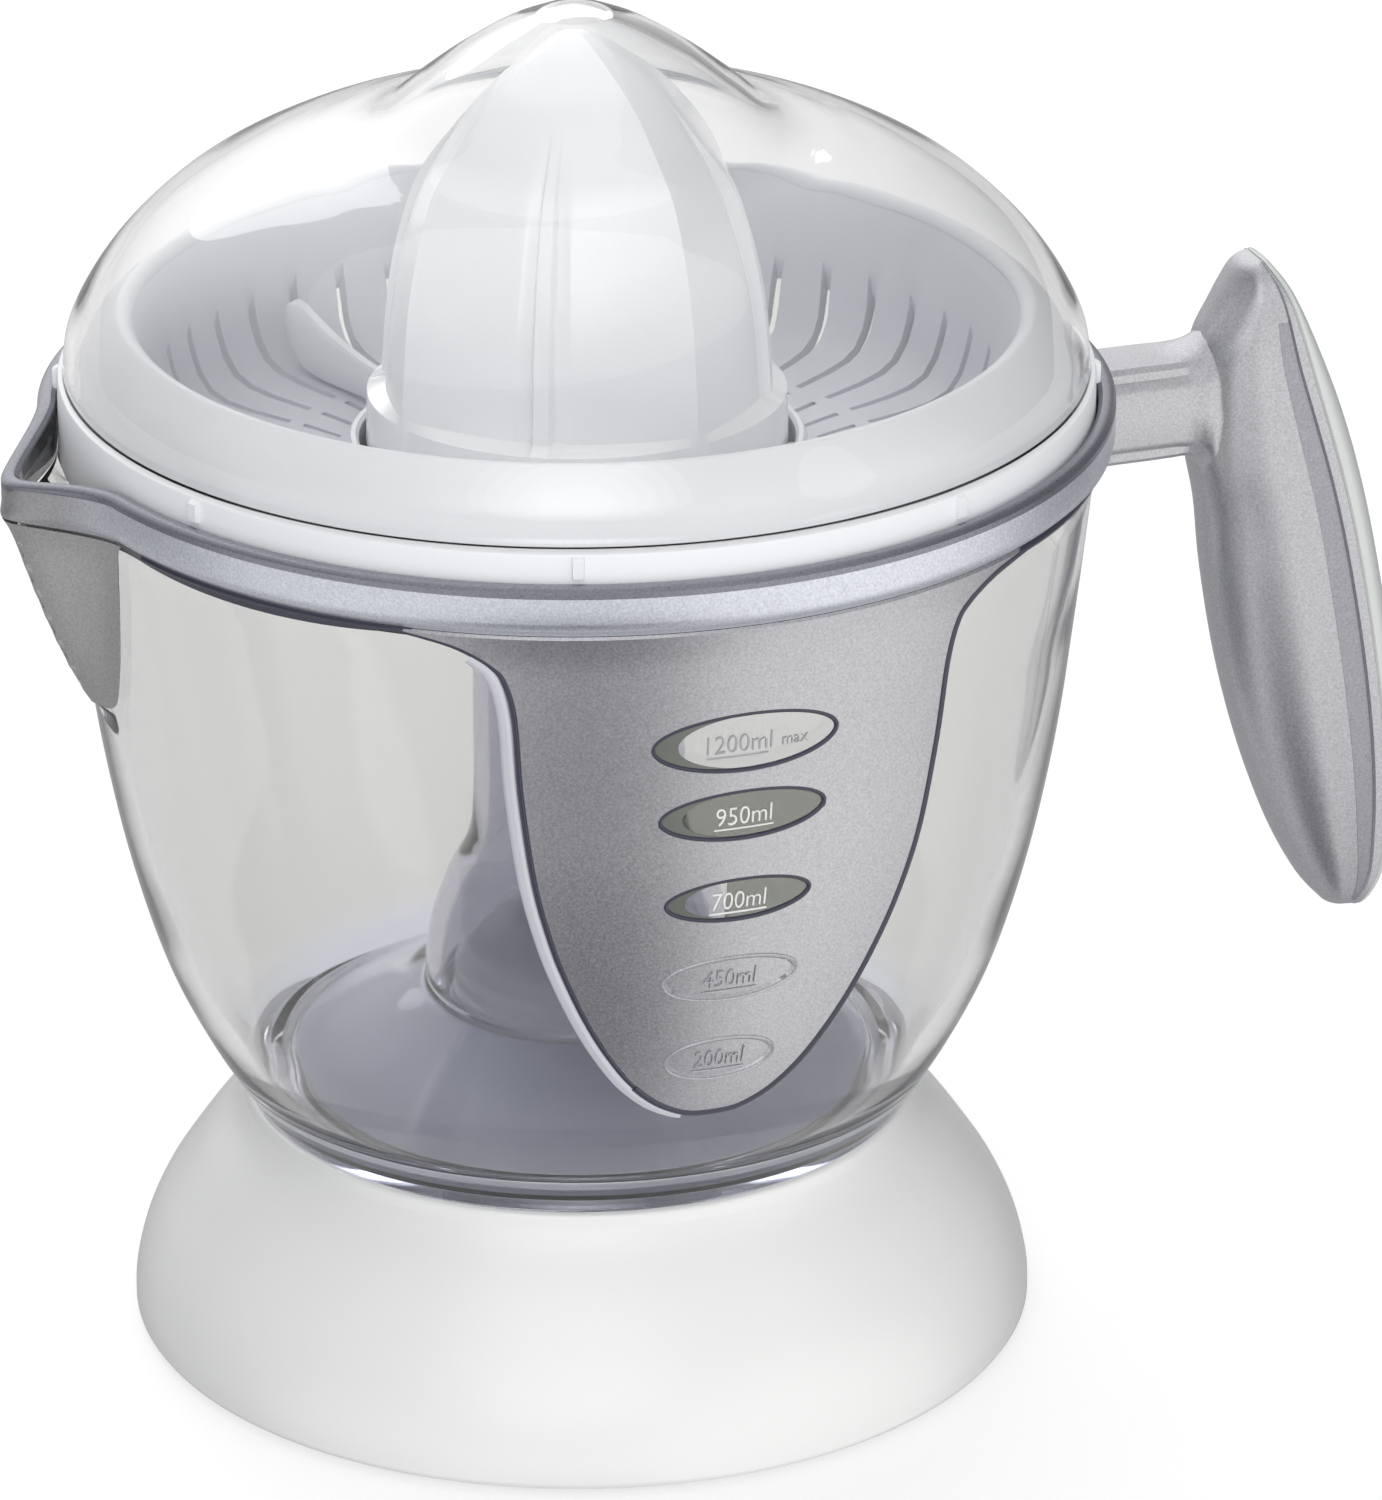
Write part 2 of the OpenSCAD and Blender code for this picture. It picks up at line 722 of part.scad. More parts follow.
basket_top = curve([[ring_inner_r - 1.2, ring_inner_z - 2], [ring_inner_r - 2.4, 164],
    [ring_inner_r - 4, 155], [ring_inner_r - 6.4, 149], [58, 146.2], [48, 144.8],
    [collar_r + 2, basket_floor]], 2);
strainer_profile = concat(
    [[collar_hole, collar_top], [collar_r, collar_top], [collar_r, basket_floor]],
    reversed(basket_top),
    arc(ring_inner_r + 0.8, ring_inner_z - 2, 2, 180, 75, 5),
    curve([[ring_inner_r + 1.3, ring_inner_z], [ring_inner_r + 5, ring_inner_z - 3],
        [ring_outer_r - 0.4, 166.4], [ring_outer_r, lid_seat_z]], 4),
    [[skirt_r - 0.8, lid_seat_z], [skirt_r, lid_seat_z - 0.8], [skirt_r, rim_low + gap],
        [skirt_r - 2, rim_low + gap], [skirt_r - 2, 160.2], [ring_outer_r - 2.2, 160.2]],
    curve([[ring_outer_r - 2.6, 164.6], [ring_inner_r + 3.6, 168], [ring_inner_r + 1, 167.4],
        [ring_inner_r - 0.4, 163], [ring_inner_r - 2, 154.4], [ring_inner_r - 4.4, 147.8],
        [60, 144.6], [48, 142.8], [collar_r + 2, 140]], 2),
    [[collar_r - 0.6, 140], [collar_r - 0.6, 130], [collar_r - 2.6, 130], [collar_r - 2.6, collar_top - 2.6],
        [collar_hole, collar_top - 2.6]]);

module strainer() {
    color("white")
    difference() {
        union() {
            rotate_extrude() polygon(strainer_profile);
            for (i = [0:7]) rotate(45 * i + 71.5) translate([skirt_r - 0.4, -1.1, rim_z + 0.4])
                cube([1.3, 2.2, lid_seat_z - rim_z - 0.5]);
        }
        for (i = [0:slot_count - 1]) rotate(360 * i / slot_count) {
            translate([52, -slot_w / 2, 138]) cube([22, slot_w, 21]);
            translate([38, -slot_w / 2, 138]) cube([11, slot_w, 12]);
        }
    }
}

module scraper_wing() {
    translate([0, 1.2, 0])
    rotate([90, 0, 0])
    linear_extrude(2.4)
    polygon(concat(
        [[scraper_r - 1, 150], [scraper_r - 1, 145.2], [48, 145.6]],
        curve([[56.6, 146.9], [60.6, 149.4], [62.4, 155], [60.6, 158.6], [55, 156.6], [46, 152]])));
}

module scraper() {
    color("white") {
        translate([0, 0, basket_floor + 1]) ring(collar_r + 0.08, collar_r + 2.6, 7);
        translate([0, 0, scraper_z + 0.2]) ring(scraper_r - 1.8, scraper_r, 6);
        for (i = [0:3]) rotate(90 * i + wing_turn + 45)
            translate([collar_r + 1.6, -2.5, scraper_z + 0.2]) cube([13.6, 5, 2]);
        for (i = [0:1]) rotate(180 * i + wing_turn) scraper_wing();
    }
}

// Outline of the large cone's ribs, from foot to tip
large_edge = curve([[cone_r, cone_low], [cone_r - 0.2, 156], [cone_r - 1, 168], [cone_r - 2, 178],
    [cone_r - 3.9, 186.6], [cone_r - 6.6, 194], [cone_r - 10.8, 200.6], [cone_r - 16.6, 207.4],
    [cone_r - 24, 212.6], [1.4, cone_top]]);
small_edge = curve([[small_r, small_low + 2.4], [small_r - 0.8, 164], [small_r - 3, 174],
    [small_r - 7.4, 183.6], [small_r - 13, 190.6], [1.2, small_top]]);

// Half of a cone's section: the edge moved in and down, closed along the axis
function cone_section(edge, inward, low) =
    let (top = edge[len(edge) - 1][1], drop = inward / (top - low))
    concat([[0, low], [edge[0][0] - inward, low]],
        [for (p = edge) if (p[0] > inward) [p[0] - inward, p[1] - drop * (p[1] - low)]],
        [[0, top - inward]]);

module cone_ribs(edge, low) {
    for (i = [0:rib_count - 1]) rotate(360 / rib_count * i + rib_turn - 90)
        translate([0, rib_w / 2, 0]) rotate([90, 0, 0]) linear_extrude(rib_w)
        polygon(cone_section(edge, 0, low));
}

module large_cone() {
    color("white")
    difference() {
        union() {
            rotate_extrude() polygon(cone_section(large_edge, 2.2, cone_low));
            cone_ribs(large_edge, cone_low);
            translate([0, 0, cone_low]) cylinder(r = cone_r, h = 4.4);
        }
        rotate_extrude() polygon(cone_section(large_edge, 4.4, cone_low - eps));
    }
    color("white") translate([0, 0, small_low + 2.6]) ring(24.4, cone_r - 4.2, 1.6);
}

module small_cone() {
    color("white")
    difference() {
        union() {
            rotate_extrude() polygon(cone_section(small_edge, 2, small_low + 0.4));
            cone_ribs(small_edge, small_low + 0.4);
            translate([0, 0, small_low + 0.4]) cylinder(r = cone_r - 5.4, h = 2);
        }
        difference() {
            rotate_extrude() polygon(cone_section(small_edge, 4, small_low));
            cylinder(r = 7.5, h = 200);
        }
        translate([0, 0, 100]) cylinder(r = shaft_r + 0.08, h = tip_top + 1.5 - 100, $fn = 6);
    }
    color("white") translate([0, 0, small_low - 1]) difference() {
        cylinder(r = 7.5, h = 2);
        translate([0, 0, -1]) cylinder(r = shaft_r + 0.08, h = 5, $fn = 6);
    }
}

lid_outer = concat([[lid_r, lid_seat_z + gap]],
    curve([[lid_r - 0.2, 164], [79.4, 169], [75.6, 176], [70.2, 182.6], [62.6, 189.2], [53, 194.6],
        [43.4, 198.2], [35.4, 200.6], [31, 203], [25.4, 207.6], [19.4, 212.2], [12, 217], [5.4, 220]], 4),
    [[0, lid_top]]);
lid_inner = concat([[lid_r - lid_wall, lid_seat_z + gap]],
    curve([[lid_r - lid_wall - 0.2, 164], [77.6, 168.4], [73.9, 175.3], [68.7, 181.6], [61.4, 187.8],
        [52.2, 193], [42.9, 196.5], [34.6, 199], [29.8, 201.6], [24.2, 206.2], [18.3, 210.8],
        [11.2, 215.3], [5, 218.2]], 4),
    [[0, lid_top - lid_wall]]);

module lid() {
    color([0.85, 0.87, 0.9, 0.4]) rotate_extrude() polygon(concat(lid_outer, reversed(lid_inner)));
}

base_housing();
bottom_cover();
rest_ring();
cover_screws();
cord_gland();
motor_core();
coil_bobbins();
motor_coils();
core_rivets();
lower_bracket();
gear_plate();
motor_screws();
plate_screw();
first_axle();
second_axle();
lower_bush();
upper_bush();
shaft_seal();
switch_body();
terminal_block();
lead_wires();
rotor_magnet();
rotor_shaft();
rotor_pinion();
first_gear();
second_gear();
output_gear();
return_spring();
drive_shaft();
spring_clip();
retaining_ring();
switch_plunger();
jug();
handle_cover();
strainer();
scraper();
small_cone();
large_cone();
lid();
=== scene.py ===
"""Looks of an electric citrus press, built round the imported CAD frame.

Shapes are given in millimetres and degrees in the part's own frame: the handle
points to +X, the spout to -X and the level windows to -Y. Meshes are in metres.
"""

import json
import math

import bmesh
import bpy
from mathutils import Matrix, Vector
from mathutils.geometry import delaunay_2d_cdt


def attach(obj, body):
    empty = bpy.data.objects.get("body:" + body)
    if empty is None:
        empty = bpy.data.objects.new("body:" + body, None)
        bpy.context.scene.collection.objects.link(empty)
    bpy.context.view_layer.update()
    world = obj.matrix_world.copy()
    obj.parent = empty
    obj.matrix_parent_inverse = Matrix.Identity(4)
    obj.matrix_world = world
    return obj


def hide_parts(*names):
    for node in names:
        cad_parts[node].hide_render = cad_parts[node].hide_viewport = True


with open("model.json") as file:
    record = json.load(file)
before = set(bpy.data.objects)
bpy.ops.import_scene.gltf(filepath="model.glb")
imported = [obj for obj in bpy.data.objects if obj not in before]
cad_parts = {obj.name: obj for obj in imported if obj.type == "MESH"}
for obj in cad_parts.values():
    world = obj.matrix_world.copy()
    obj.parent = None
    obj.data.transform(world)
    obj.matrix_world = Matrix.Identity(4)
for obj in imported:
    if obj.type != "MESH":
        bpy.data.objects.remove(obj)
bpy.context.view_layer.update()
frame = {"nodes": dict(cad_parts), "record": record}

MM = 0.001
FRONT = -90.0  # direction of the level windows
SPOUT = 180.0  # direction of the spout
SHARP = 38.0  # degrees between two faces that make a sharp edge of their border


# ---- Curves and meshes ----


def curve(points, steps=6):
    """A smooth curve through points, with a number of steps between each two."""
    last = len(points) - 1
    out = []
    for i in range(last):
        a, b = points[max(i - 1, 0)], points[i]
        c, d = points[i + 1], points[min(i + 2, last)]
        for k in range(steps):
            t = k / steps
            out.append(tuple(
                0.5 * (2 * q + (r - p) * t + (2 * p - 5 * q + 4 * r - s) * t ** 2
                       + (3 * q - p - 3 * r + s) * t ** 3)
                for p, q, r, s in zip(a, b, c, d)))
    return out + [tuple(points[last])]


def lookup(table, x):
    """Value at x on a line through the table's (x, value) rows."""
    if x <= table[0][0]:
        return table[0][1]
    for (x0, y0), (x1, y1) in zip(table, table[1:]):
        if x <= x1:
            return y0 + (y1 - y0) * (x - x0) / (x1 - x0)
    return table[-1][1]


def smoothstep(low, high, x):
    t = min(1.0, max(0.0, (x - low) / (high - low)))
    return t * t * (3 - 2 * t)


def polar(r, degrees, z):
    a = math.radians(degrees)
    return (r * math.cos(a), r * math.sin(a), z)


def swung(x, y, z, degrees):
    """A point turned about the part's axis."""
    a = math.radians(degrees)
    return (x * math.cos(a) - y * math.sin(a), x * math.sin(a) + y * math.cos(a), z)


def make(name, verts, faces, material, body, sharp=SHARP):
    """A closed mesh piece from points in millimetres, smooth except at sharp edges."""
    mesh = bpy.data.meshes.new(name)
    mesh.from_pydata([(x * MM, y * MM, z * MM) for x, y, z in verts], [], faces)
    bm = bmesh.new()
    bm.from_mesh(mesh)
    bmesh.ops.remove_doubles(bm, verts=bm.verts, dist=1e-7)
    bmesh.ops.recalc_face_normals(bm, faces=bm.faces)
    bm.to_mesh(mesh)
    bm.free()
    mesh.shade_smooth()
    mesh.set_sharp_from_angle(angle=math.radians(sharp))
    mesh.materials.append(material)
    piece = bpy.data.objects.new(name, mesh)
    bpy.context.scene.collection.objects.link(piece)
    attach(piece, body)
    return piece


def grid_faces(rows, columns, wrap_rows, wrap_columns):
    """Quads over points listed row by row."""
    faces = []
    for i in range(rows if wrap_rows else rows - 1):
        for j in range(columns if wrap_columns else columns - 1):
            i1, j1 = (i + 1) % rows, (j + 1) % columns
            faces.append((i * columns + j, i1 * columns + j,
                          i1 * columns + j1, i * columns + j1))
    return faces


def turned(name, profile, material, body, angles=None, shape=None, sharp=SHARP):
    """A turned piece from a profile of (r, z) points. The profile is closed, or
    ends on the axis at both ends. shape(i, r, z, angle) may move each point."""
    angles = angles or [360.0 * k / 240 for k in range(240)]
    closed = profile[0][0] > 1e-6 or profile[-1][0] > 1e-6
    verts = []
    body_rows = profile if closed else profile[1:-1]
    for i, (r, z) in enumerate(body_rows):
        for a in angles:
            rr, zz = shape(i, r, z, a) if shape else (r, z)
            verts.append(polar(rr, a, zz))
    n = len(angles)
    faces = grid_faces(len(body_rows), n, closed, True)
    if not closed:
        first, last = len(verts), len(verts) + 1
        verts += [(0, 0, profile[0][1]), (0, 0, profile[-1][1])]
        top = (len(body_rows) - 1) * n
        for j in range(n):
            faces.append((first, (j + 1) % n, j))
            faces.append((last, top + j, top + (j + 1) % n))
    return make(name, verts, faces, material, body, sharp)


def loft(name, rings, material, body, sharp=SHARP):
    """A closed skin over rings of as many points each, capped at both ends."""
    n = len(rings[0])
    verts = [p for ring in rings for p in ring]
    faces = grid_faces(len(rings), n, False, True)
    faces.append(tuple(range(n)))
    faces.append(tuple(reversed(range((len(rings) - 1) * n, len(rings) * n))))
    return make(name, verts, faces, material, body, sharp)


def tube(name, path, radius, material, body, closed=False, sides=8, flat=1.0):
    """A round bead of a radius along a path of (point, up) pairs."""
    verts, n = [], len(path)
    for i, (p, up) in enumerate(path):
        before = path[(i - 1) % n if closed else max(i - 1, 0)][0]
        after = path[(i + 1) % n if closed else min(i + 1, n - 1)][0]
        along = (Vector(after) - Vector(before)).normalized()
        side = along.cross(Vector(up)).normalized()
        rise = side.cross(along)
        for k in range(sides):
            b = 2 * math.pi * k / sides
            verts.append(tuple(Vector(p) + radius * (
                math.cos(b) * side + flat * math.sin(b) * rise)))
    faces = grid_faces(n, sides, closed, True)
    if not closed:
        faces.append(tuple(range(sides)))
        faces.append(tuple(reversed(range((n - 1) * sides, n * sides))))
    return make(name, verts, faces, material, body, 60.0)


def inside(point, loop):
    x, y = point
    hit = False
    for (x0, y0), (x1, y1) in zip(loop, loop[1:] + loop[:1]):
        if (y0 > y) != (y1 > y) and x < (x1 - x0) * (y - y0) / (y1 - y0) + x0:
            hit = not hit
    return hit


def grown(loop, by):
    """A closed loop of points moved outwards by a distance. It runs anticlockwise."""
    out = []
    n = len(loop)
    for i, (x, y) in enumerate(loop):
        px, py = loop[i - 1]
        nx, ny = loop[(i + 1) % n]
        length = math.hypot(nx - px, ny - py) or 1.0
        out.append((x + by * (ny - py) / length, y - by * (nx - px) / length))
    return out


def evened(loop, step):
    """Points along a closed loop, about a step apart."""
    out = []
    for (x0, y0), (x1, y1) in zip(loop, loop[1:] + loop[:1]):
        count = max(1, round(math.hypot(x1 - x0, y1 - y0) / step))
        out += [(x0 + (x1 - x0) * k / count, y0 + (y1 - y0) * k / count)
                for k in range(count)]
    return out


SKIN_SHARP = 22.0  # a thin sheet's faces meet its edges at low angles


def skin(name, outline, holes, place, low, high, bevel, material, body):
    """A thin closed sheet with holes. place(u, v, lift) lays a flat point on the
    surface below. The sheet lies between the lifts low and high, and its edges
    slope outwards by bevel towards low."""
    step, outline_step, hole_step, margin = 2.2, 1.2, 0.8, 1.0
    loops = [evened(outline, outline_step)] + [evened(h, hole_step) for h in holes]
    flat = [p for loop in loops for p in loop]
    edges, start = [], 0
    for loop in loops:
        n = len(loop)
        edges += [(start + k, start + (k + 1) % n) for k in range(n)]
        start += n
    us = [p[0] for p in loops[0]]
    vs = [p[1] for p in loops[0]]
    keep = [grown(loops[0], -margin)] + [grown(h, margin) for h in loops[1:]]
    rows = int((max(vs) - min(vs)) / step)
    columns = int((max(us) - min(us)) / step)
    for i in range(1, rows + 1):
        for j in range(1, columns + 1):
            p = (min(us) + j * step - (i % 2) * step / 2, min(vs) + i * step)
            if inside(p, keep[0]) and not any(inside(p, h) for h in keep[1:]):
                flat.append(p)
    got = delaunay_2d_cdt([Vector(p) for p in flat], edges, [], 0, 1e-5)
    points, faces = [tuple(p) for p in got[0]], []
    for face in got[2]:
        middle = tuple(sum(points[v][k] for v in face) / len(face) for k in (0, 1))
        if inside(middle, loops[0]) and not any(inside(middle, h) for h in loops[1:]):
            faces.append(tuple(face))
    spread = {}
    for k, loop in enumerate(loops):
        for p, q in zip(loop, grown(loop, bevel if k == 0 else -bevel)):
            spread[(round(p[0], 4), round(p[1], 4))] = q
    below = [spread.get((round(x, 4), round(y, 4)), (x, y)) for x, y in points]
    verts = [place(u, v, high) for u, v in points]
    verts += [place(u, v, low) for u, v in below]
    count = len(points)
    used = {}
    for face in faces:
        for a, b in zip(face, face[1:] + face[:1]):
            used[(a, b)] = used.get((a, b), 0) + 1
    walls = [(b, a, a + count, b + count) for a, b in used if (b, a) not in used]
    faces += [tuple(v + count for v in reversed(f)) for f in faces]
    return make(name, verts, faces + walls, material, body, SKIN_SHARP)


# ---- Materials ----


def nodes_of(name):
    material = bpy.data.materials.new(name)
    material.use_nodes = True
    tree = material.node_tree
    return material, tree, tree.nodes["Principled BSDF"], tree.nodes["Material Output"]


def put(node, **values):
    """Sets a node's inputs, with _ for each space of their names, and its settings."""
    for key, value in values.items():
        socket = key.replace("_", " ")
        if socket in node.inputs:
            node.inputs[socket].default_value = value
        else:
            setattr(node, key, value)
    return node


def add(tree, kind, **values):
    return put(tree.nodes.new(kind), **values)


def own_place(tree):
    """The object's own coordinates, in metres."""
    return add(tree, "ShaderNodeTexCoord").outputs["Object"]


def noise(tree, scale, detail=3.0, stretch=(1, 1, 1)):
    """A noise in the object's own coordinates, at a scale in cells a metre."""
    mapping = add(tree, "ShaderNodeMapping", Scale=stretch)
    texture = add(tree, "ShaderNodeTexNoise", Scale=scale, Detail=detail)
    tree.links.new(own_place(tree), mapping.inputs["Vector"])
    tree.links.new(mapping.outputs["Vector"], texture.inputs["Vector"])
    return texture.outputs["Fac"]


def ranged(tree, value, low, high):
    node = add(tree, "ShaderNodeMapRange", To_Min=low, To_Max=high)
    tree.links.new(value, node.inputs["Value"])
    return node.outputs["Result"]


def mixed(tree, value, first, second):
    """A colour between two colours, by a value from 0 to 1."""
    node = add(tree, "ShaderNodeMix", data_type="RGBA")
    for socket, colour in ((node.inputs[6], first), (node.inputs[7], second)):
        if isinstance(colour, tuple):
            socket.default_value = (*colour, 1)
        else:
            tree.links.new(colour, socket)
    tree.links.new(value, node.inputs[0])
    return node.outputs[2]


def shader_of(material):
    return material.node_tree.nodes["Principled BSDF"]


def along(tree, axis):
    """The object's own coordinate along an axis, in metres."""
    split = add(tree, "ShaderNodeSeparateXYZ")
    tree.links.new(own_place(tree), split.inputs["Vector"])
    return split.outputs[axis]


def ramp(tree, value, low, high, kind="LINEAR"):
    """0 where a value in metres is under low mm, 1 where it is over high mm."""
    node = add(tree, "ShaderNodeMapRange", interpolation_type=kind, From_Min=low * MM,
               From_Max=high * MM)
    tree.links.new(value, node.inputs["Value"])
    return node.outputs["Result"]


def bumped(tree, shader, value, strength, distance):
    node = add(tree, "ShaderNodeBump", Strength=strength, Distance=distance)
    tree.links.new(value, node.inputs["Height"])
    tree.links.new(node.outputs["Normal"], shader.inputs["Normal"])


GRAIN_DEPTH = 0.00004  # metres


def finish(name, colour, rough, metallic=0.0, vary=0.04, grain=900.0, bump=0.08, coat=0.0,
           stretch=(1, 1, 1), soft=0.06):
    """A moulded, cast or rolled finish: its colour, roughness and relief all vary. It may
    have a coat, whose own roughness is soft."""
    material, tree, shader, _ = nodes_of(name)
    broad = noise(tree, 26.0, 4.0)
    dark = tuple(c * (1 - vary) for c in colour)
    tree.links.new(mixed(tree, broad, dark, colour), shader.inputs["Base Color"])
    fine = noise(tree, grain, 3.0, stretch)
    tree.links.new(ranged(tree, fine, rough * 0.82, min(1.0, rough * 1.18)),
                   shader.inputs["Roughness"])
    bumped(tree, shader, fine, bump, GRAIN_DEPTH)
    put(shader, Metallic=metallic, Coat_Weight=coat, Coat_Roughness=soft)
    return material


def from_axis(tree, low, high):
    """0 nearer the axis than low mm, 1 beyond high mm."""
    level = add(tree, "ShaderNodeVectorMath", operation="MULTIPLY")
    level.inputs[1].default_value = (1, 1, 0)
    tree.links.new(own_place(tree), level.inputs[0])
    out = add(tree, "ShaderNodeVectorMath", operation="LENGTH")
    tree.links.new(level.outputs["Vector"], out.inputs[0])
    return ramp(tree, out.outputs["Value"], low, high)


def clear(name, tint, rough, passed, floor=None, core=None, bell=None):
    """Clear plastic with faint flow marks. Lamps reach through it, in the tint passed. It may
    take other tints below the floor's height, nearer the axis than the core's radius, and in
    the core above the bell's height: a lavender cast, and painted shade and light there."""
    material, tree, shader, output = nodes_of(name)
    floor_tint, floor_z = floor or (tint, 0.0)
    core_tint, core_r = core or (tint, 1.0)
    bell_tint, bell_z = bell or (tint, 0.0)
    height = along(tree, "Z")
    over_floor = ramp(tree, height, floor_z, floor_z + 5, "SMOOTHSTEP")
    flow = noise(tree, 34.0, 2.0, (1, 1, 0.4))
    outer = mixed(tree, flow, tuple(c * 0.985 for c in tint), tint)
    middle = mixed(tree, ramp(tree, height, bell_z, bell_z + 1.5), core_tint, bell_tint)
    wall = mixed(tree, from_axis(tree, core_r, core_r + 2), middle, outer)
    colour = mixed(tree, over_floor, floor_tint, wall)
    tree.links.new(colour, shader.inputs["Base Color"])
    tree.links.new(ranged(tree, flow, rough * 0.8, rough * 1.2), shader.inputs["Roughness"])
    bumped(tree, shader, flow, 0.05, 0.0004)
    put(shader, Transmission_Weight=1.0, IOR=1.49)
    through = add(tree, "ShaderNodeBsdfTransparent")
    tree.links.new(mixed(tree, over_floor, tuple(c * 0.8 for c in passed), passed),
                   through.inputs["Color"])
    path = add(tree, "ShaderNodeLightPath")
    join = add(tree, "ShaderNodeMixShader")
    tree.links.new(path.outputs["Is Shadow Ray"], join.inputs[0])
    tree.links.new(shader.outputs["BSDF"], join.inputs[1])
    tree.links.new(through.outputs["BSDF"], join.inputs[2])
    tree.links.new(join.outputs["Shader"], output.inputs["Surface"])
    return material


def silver(name, colour, dark, rough, at_spout=None):
    """A sprayed silver coat: fine metal grain under lacquer, a little uneven. It may turn
    to another tone at the spout, which on the rim is painted shade."""
    material, tree, shader, _ = nodes_of(name)
    broad = noise(tree, 18.0, 2.0)
    speck = noise(tree, 2600.0, 2.0)
    tone = mixed(tree, ranged(tree, broad, 0.2, 0.8), dark, colour)
    if at_spout:
        past_spout = ramp(tree, along(tree, "X"), -88.0, -80.5, "SMOOTHSTEP")
        tone = mixed(tree, past_spout, at_spout, tone)
    both = add(tree, "ShaderNodeMix", data_type="RGBA", blend_type="MULTIPLY")
    both.inputs[0].default_value = 1.0
    lift = mixed(tree, ranged(tree, speck, -0.6, 1.6), (0.80, 0.80, 0.80), (1.12, 1.12, 1.12))
    tree.links.new(tone, both.inputs[6])
    tree.links.new(lift, both.inputs[7])
    tree.links.new(both.outputs[2], shader.inputs["Base Color"])
    tree.links.new(ranged(tree, speck, rough * 0.8, rough * 1.2), shader.inputs["Roughness"])
    bumped(tree, shader, speck, 0.16, 0.00005)
    put(shader, Metallic=0.82, Coat_Weight=0.15, Coat_Roughness=0.2)
    return material


def striped(name, first, second, rough, metallic, per_metre, axis, bump):
    """Thin layers or windings: sheet steel edges, copper wire."""
    material, tree, shader, _ = nodes_of(name)
    bands = add(tree, "ShaderNodeTexWave", Scale=per_metre, Distortion=0.4, Detail=1.0,
                bands_direction=axis)
    tree.links.new(own_place(tree), bands.inputs["Vector"])
    tree.links.new(mixed(tree, bands.outputs["Fac"], first, second), shader.inputs["Base Color"])
    fine = noise(tree, 700.0)
    tree.links.new(ranged(tree, fine, rough * 0.8, rough * 1.2), shader.inputs["Roughness"])
    bumped(tree, shader, bands.outputs["Fac"], bump, 0.0002)
    put(shader, Metallic=metallic)
    return material


gloss_white = finish("gloss_white", (0.86, 0.865, 0.855), 0.16, vary=0.015, grain=420.0,
                     bump=0.03, coat=0.6)
satin_white = finish("satin_white", (0.74, 0.745, 0.75), 0.42, grain=1500.0, bump=0.15)
cool_white = finish("cool_white", (0.79, 0.80, 0.83), 0.42, vary=0.02, grain=600.0, bump=0.03,
                    coat=0.12, soft=0.4)
# Painted shade: the strainer is darker inside its ring than on it, as its basket lies in shade
# under the lid and ring
RING_TONE = (0.85, 0.86, 0.885)
strainer_white = finish("strainer_white", RING_TONE, 0.42, vary=0.02, grain=600.0, bump=0.03,
                        coat=0.12, soft=0.4)
strainer_tree = strainer_white.node_tree
basket_painted_shade = mixed(strainer_tree, noise(strainer_tree, 26.0, 4.0), (0.68, 0.69, 0.73),
                    (0.70, 0.71, 0.75))
strainer_tree.links.new(
    mixed(strainer_tree, from_axis(strainer_tree, 66.0, 71.0), basket_painted_shade, RING_TONE),
    shader_of(strainer_white).inputs["Base Color"])
cone_white = finish("cone_white", (0.945, 0.955, 0.97), 0.24, vary=0.015, grain=500.0, bump=0.03,
                    coat=0.25, soft=0.12)
cover_grey = finish("cover_grey", (0.66, 0.685, 0.67), 0.2, vary=0.03, grain=600.0, bump=0.04,
                    coat=0.5)
# The floor, core and bell tints are a lavender cast, and also painted shade and light on the jug's
# floor, tube and bell
jug_clear = clear("jug_clear", (0.785, 0.785, 0.78), 0.03, (0.98, 0.98, 0.985),
                  floor=((0.80, 0.81, 0.90), 44.0), core=((0.89, 0.90, 0.99), 46.0),
                  bell=((0.64, 0.64, 0.72), 57.0))
lid_clear = clear("lid_clear", (0.95, 0.95, 0.95), 0.015, (0.99, 0.99, 0.99))
coat_silver = silver("coat_silver", (0.64, 0.64, 0.66), (0.54, 0.54, 0.58), 0.34)
# Painted shade: a darker silver for the strip beside the grip's seam
grip_shade_silver = silver("grip_shade_silver", (0.44, 0.44, 0.48), (0.38, 0.38, 0.42), 0.34)
# Painted highlight: the rim band is lighter and bluer than the panel's silver, for a broad
# reflection along its front; past the spout it turns to a darker grey, a painted shade
rim_silver = silver("rim_silver", (0.84, 0.86, 0.92), (0.74, 0.76, 0.83), 0.36,
                    at_spout=(0.47, 0.47, 0.48))
spout_silver = silver("spout_silver", (0.54, 0.54, 0.535), (0.44, 0.44, 0.44), 0.34)
# Painted shade: a dark silver for the dark line along the rim's top
lip_shade_silver = silver("lip_shade_silver", (0.34, 0.34, 0.38), (0.26, 0.26, 0.31), 0.3)
# Painted shade: a darker clear tint for the jug's shaded inside seen through some windows
pane_dark = clear("pane_dark", (0.40, 0.41, 0.37), 0.03, (0.6, 0.6, 0.6))
# Painted shade: a dark glossy sheet for the shade inside the clear windows
pane_shade = finish("pane_shade", (0.20, 0.21, 0.19), 0.10, vary=0.5, grain=260.0, bump=0.05,
                    coat=1.0)
floor_frost = finish("floor_frost", (0.80, 0.815, 0.90), 0.5, vary=0.05, grain=1200.0,
                     bump=0.1)
put(shader_of(floor_frost), Transmission_Weight=0.35)
# Painted highlight: a light finish for the panel's left border, where its raised edge catches
# light
edge_highlight = finish("edge_highlight", (0.62, 0.62, 0.68), 0.12, vary=0.12, grain=300.0, bump=0.05,
                    coat=1.0)
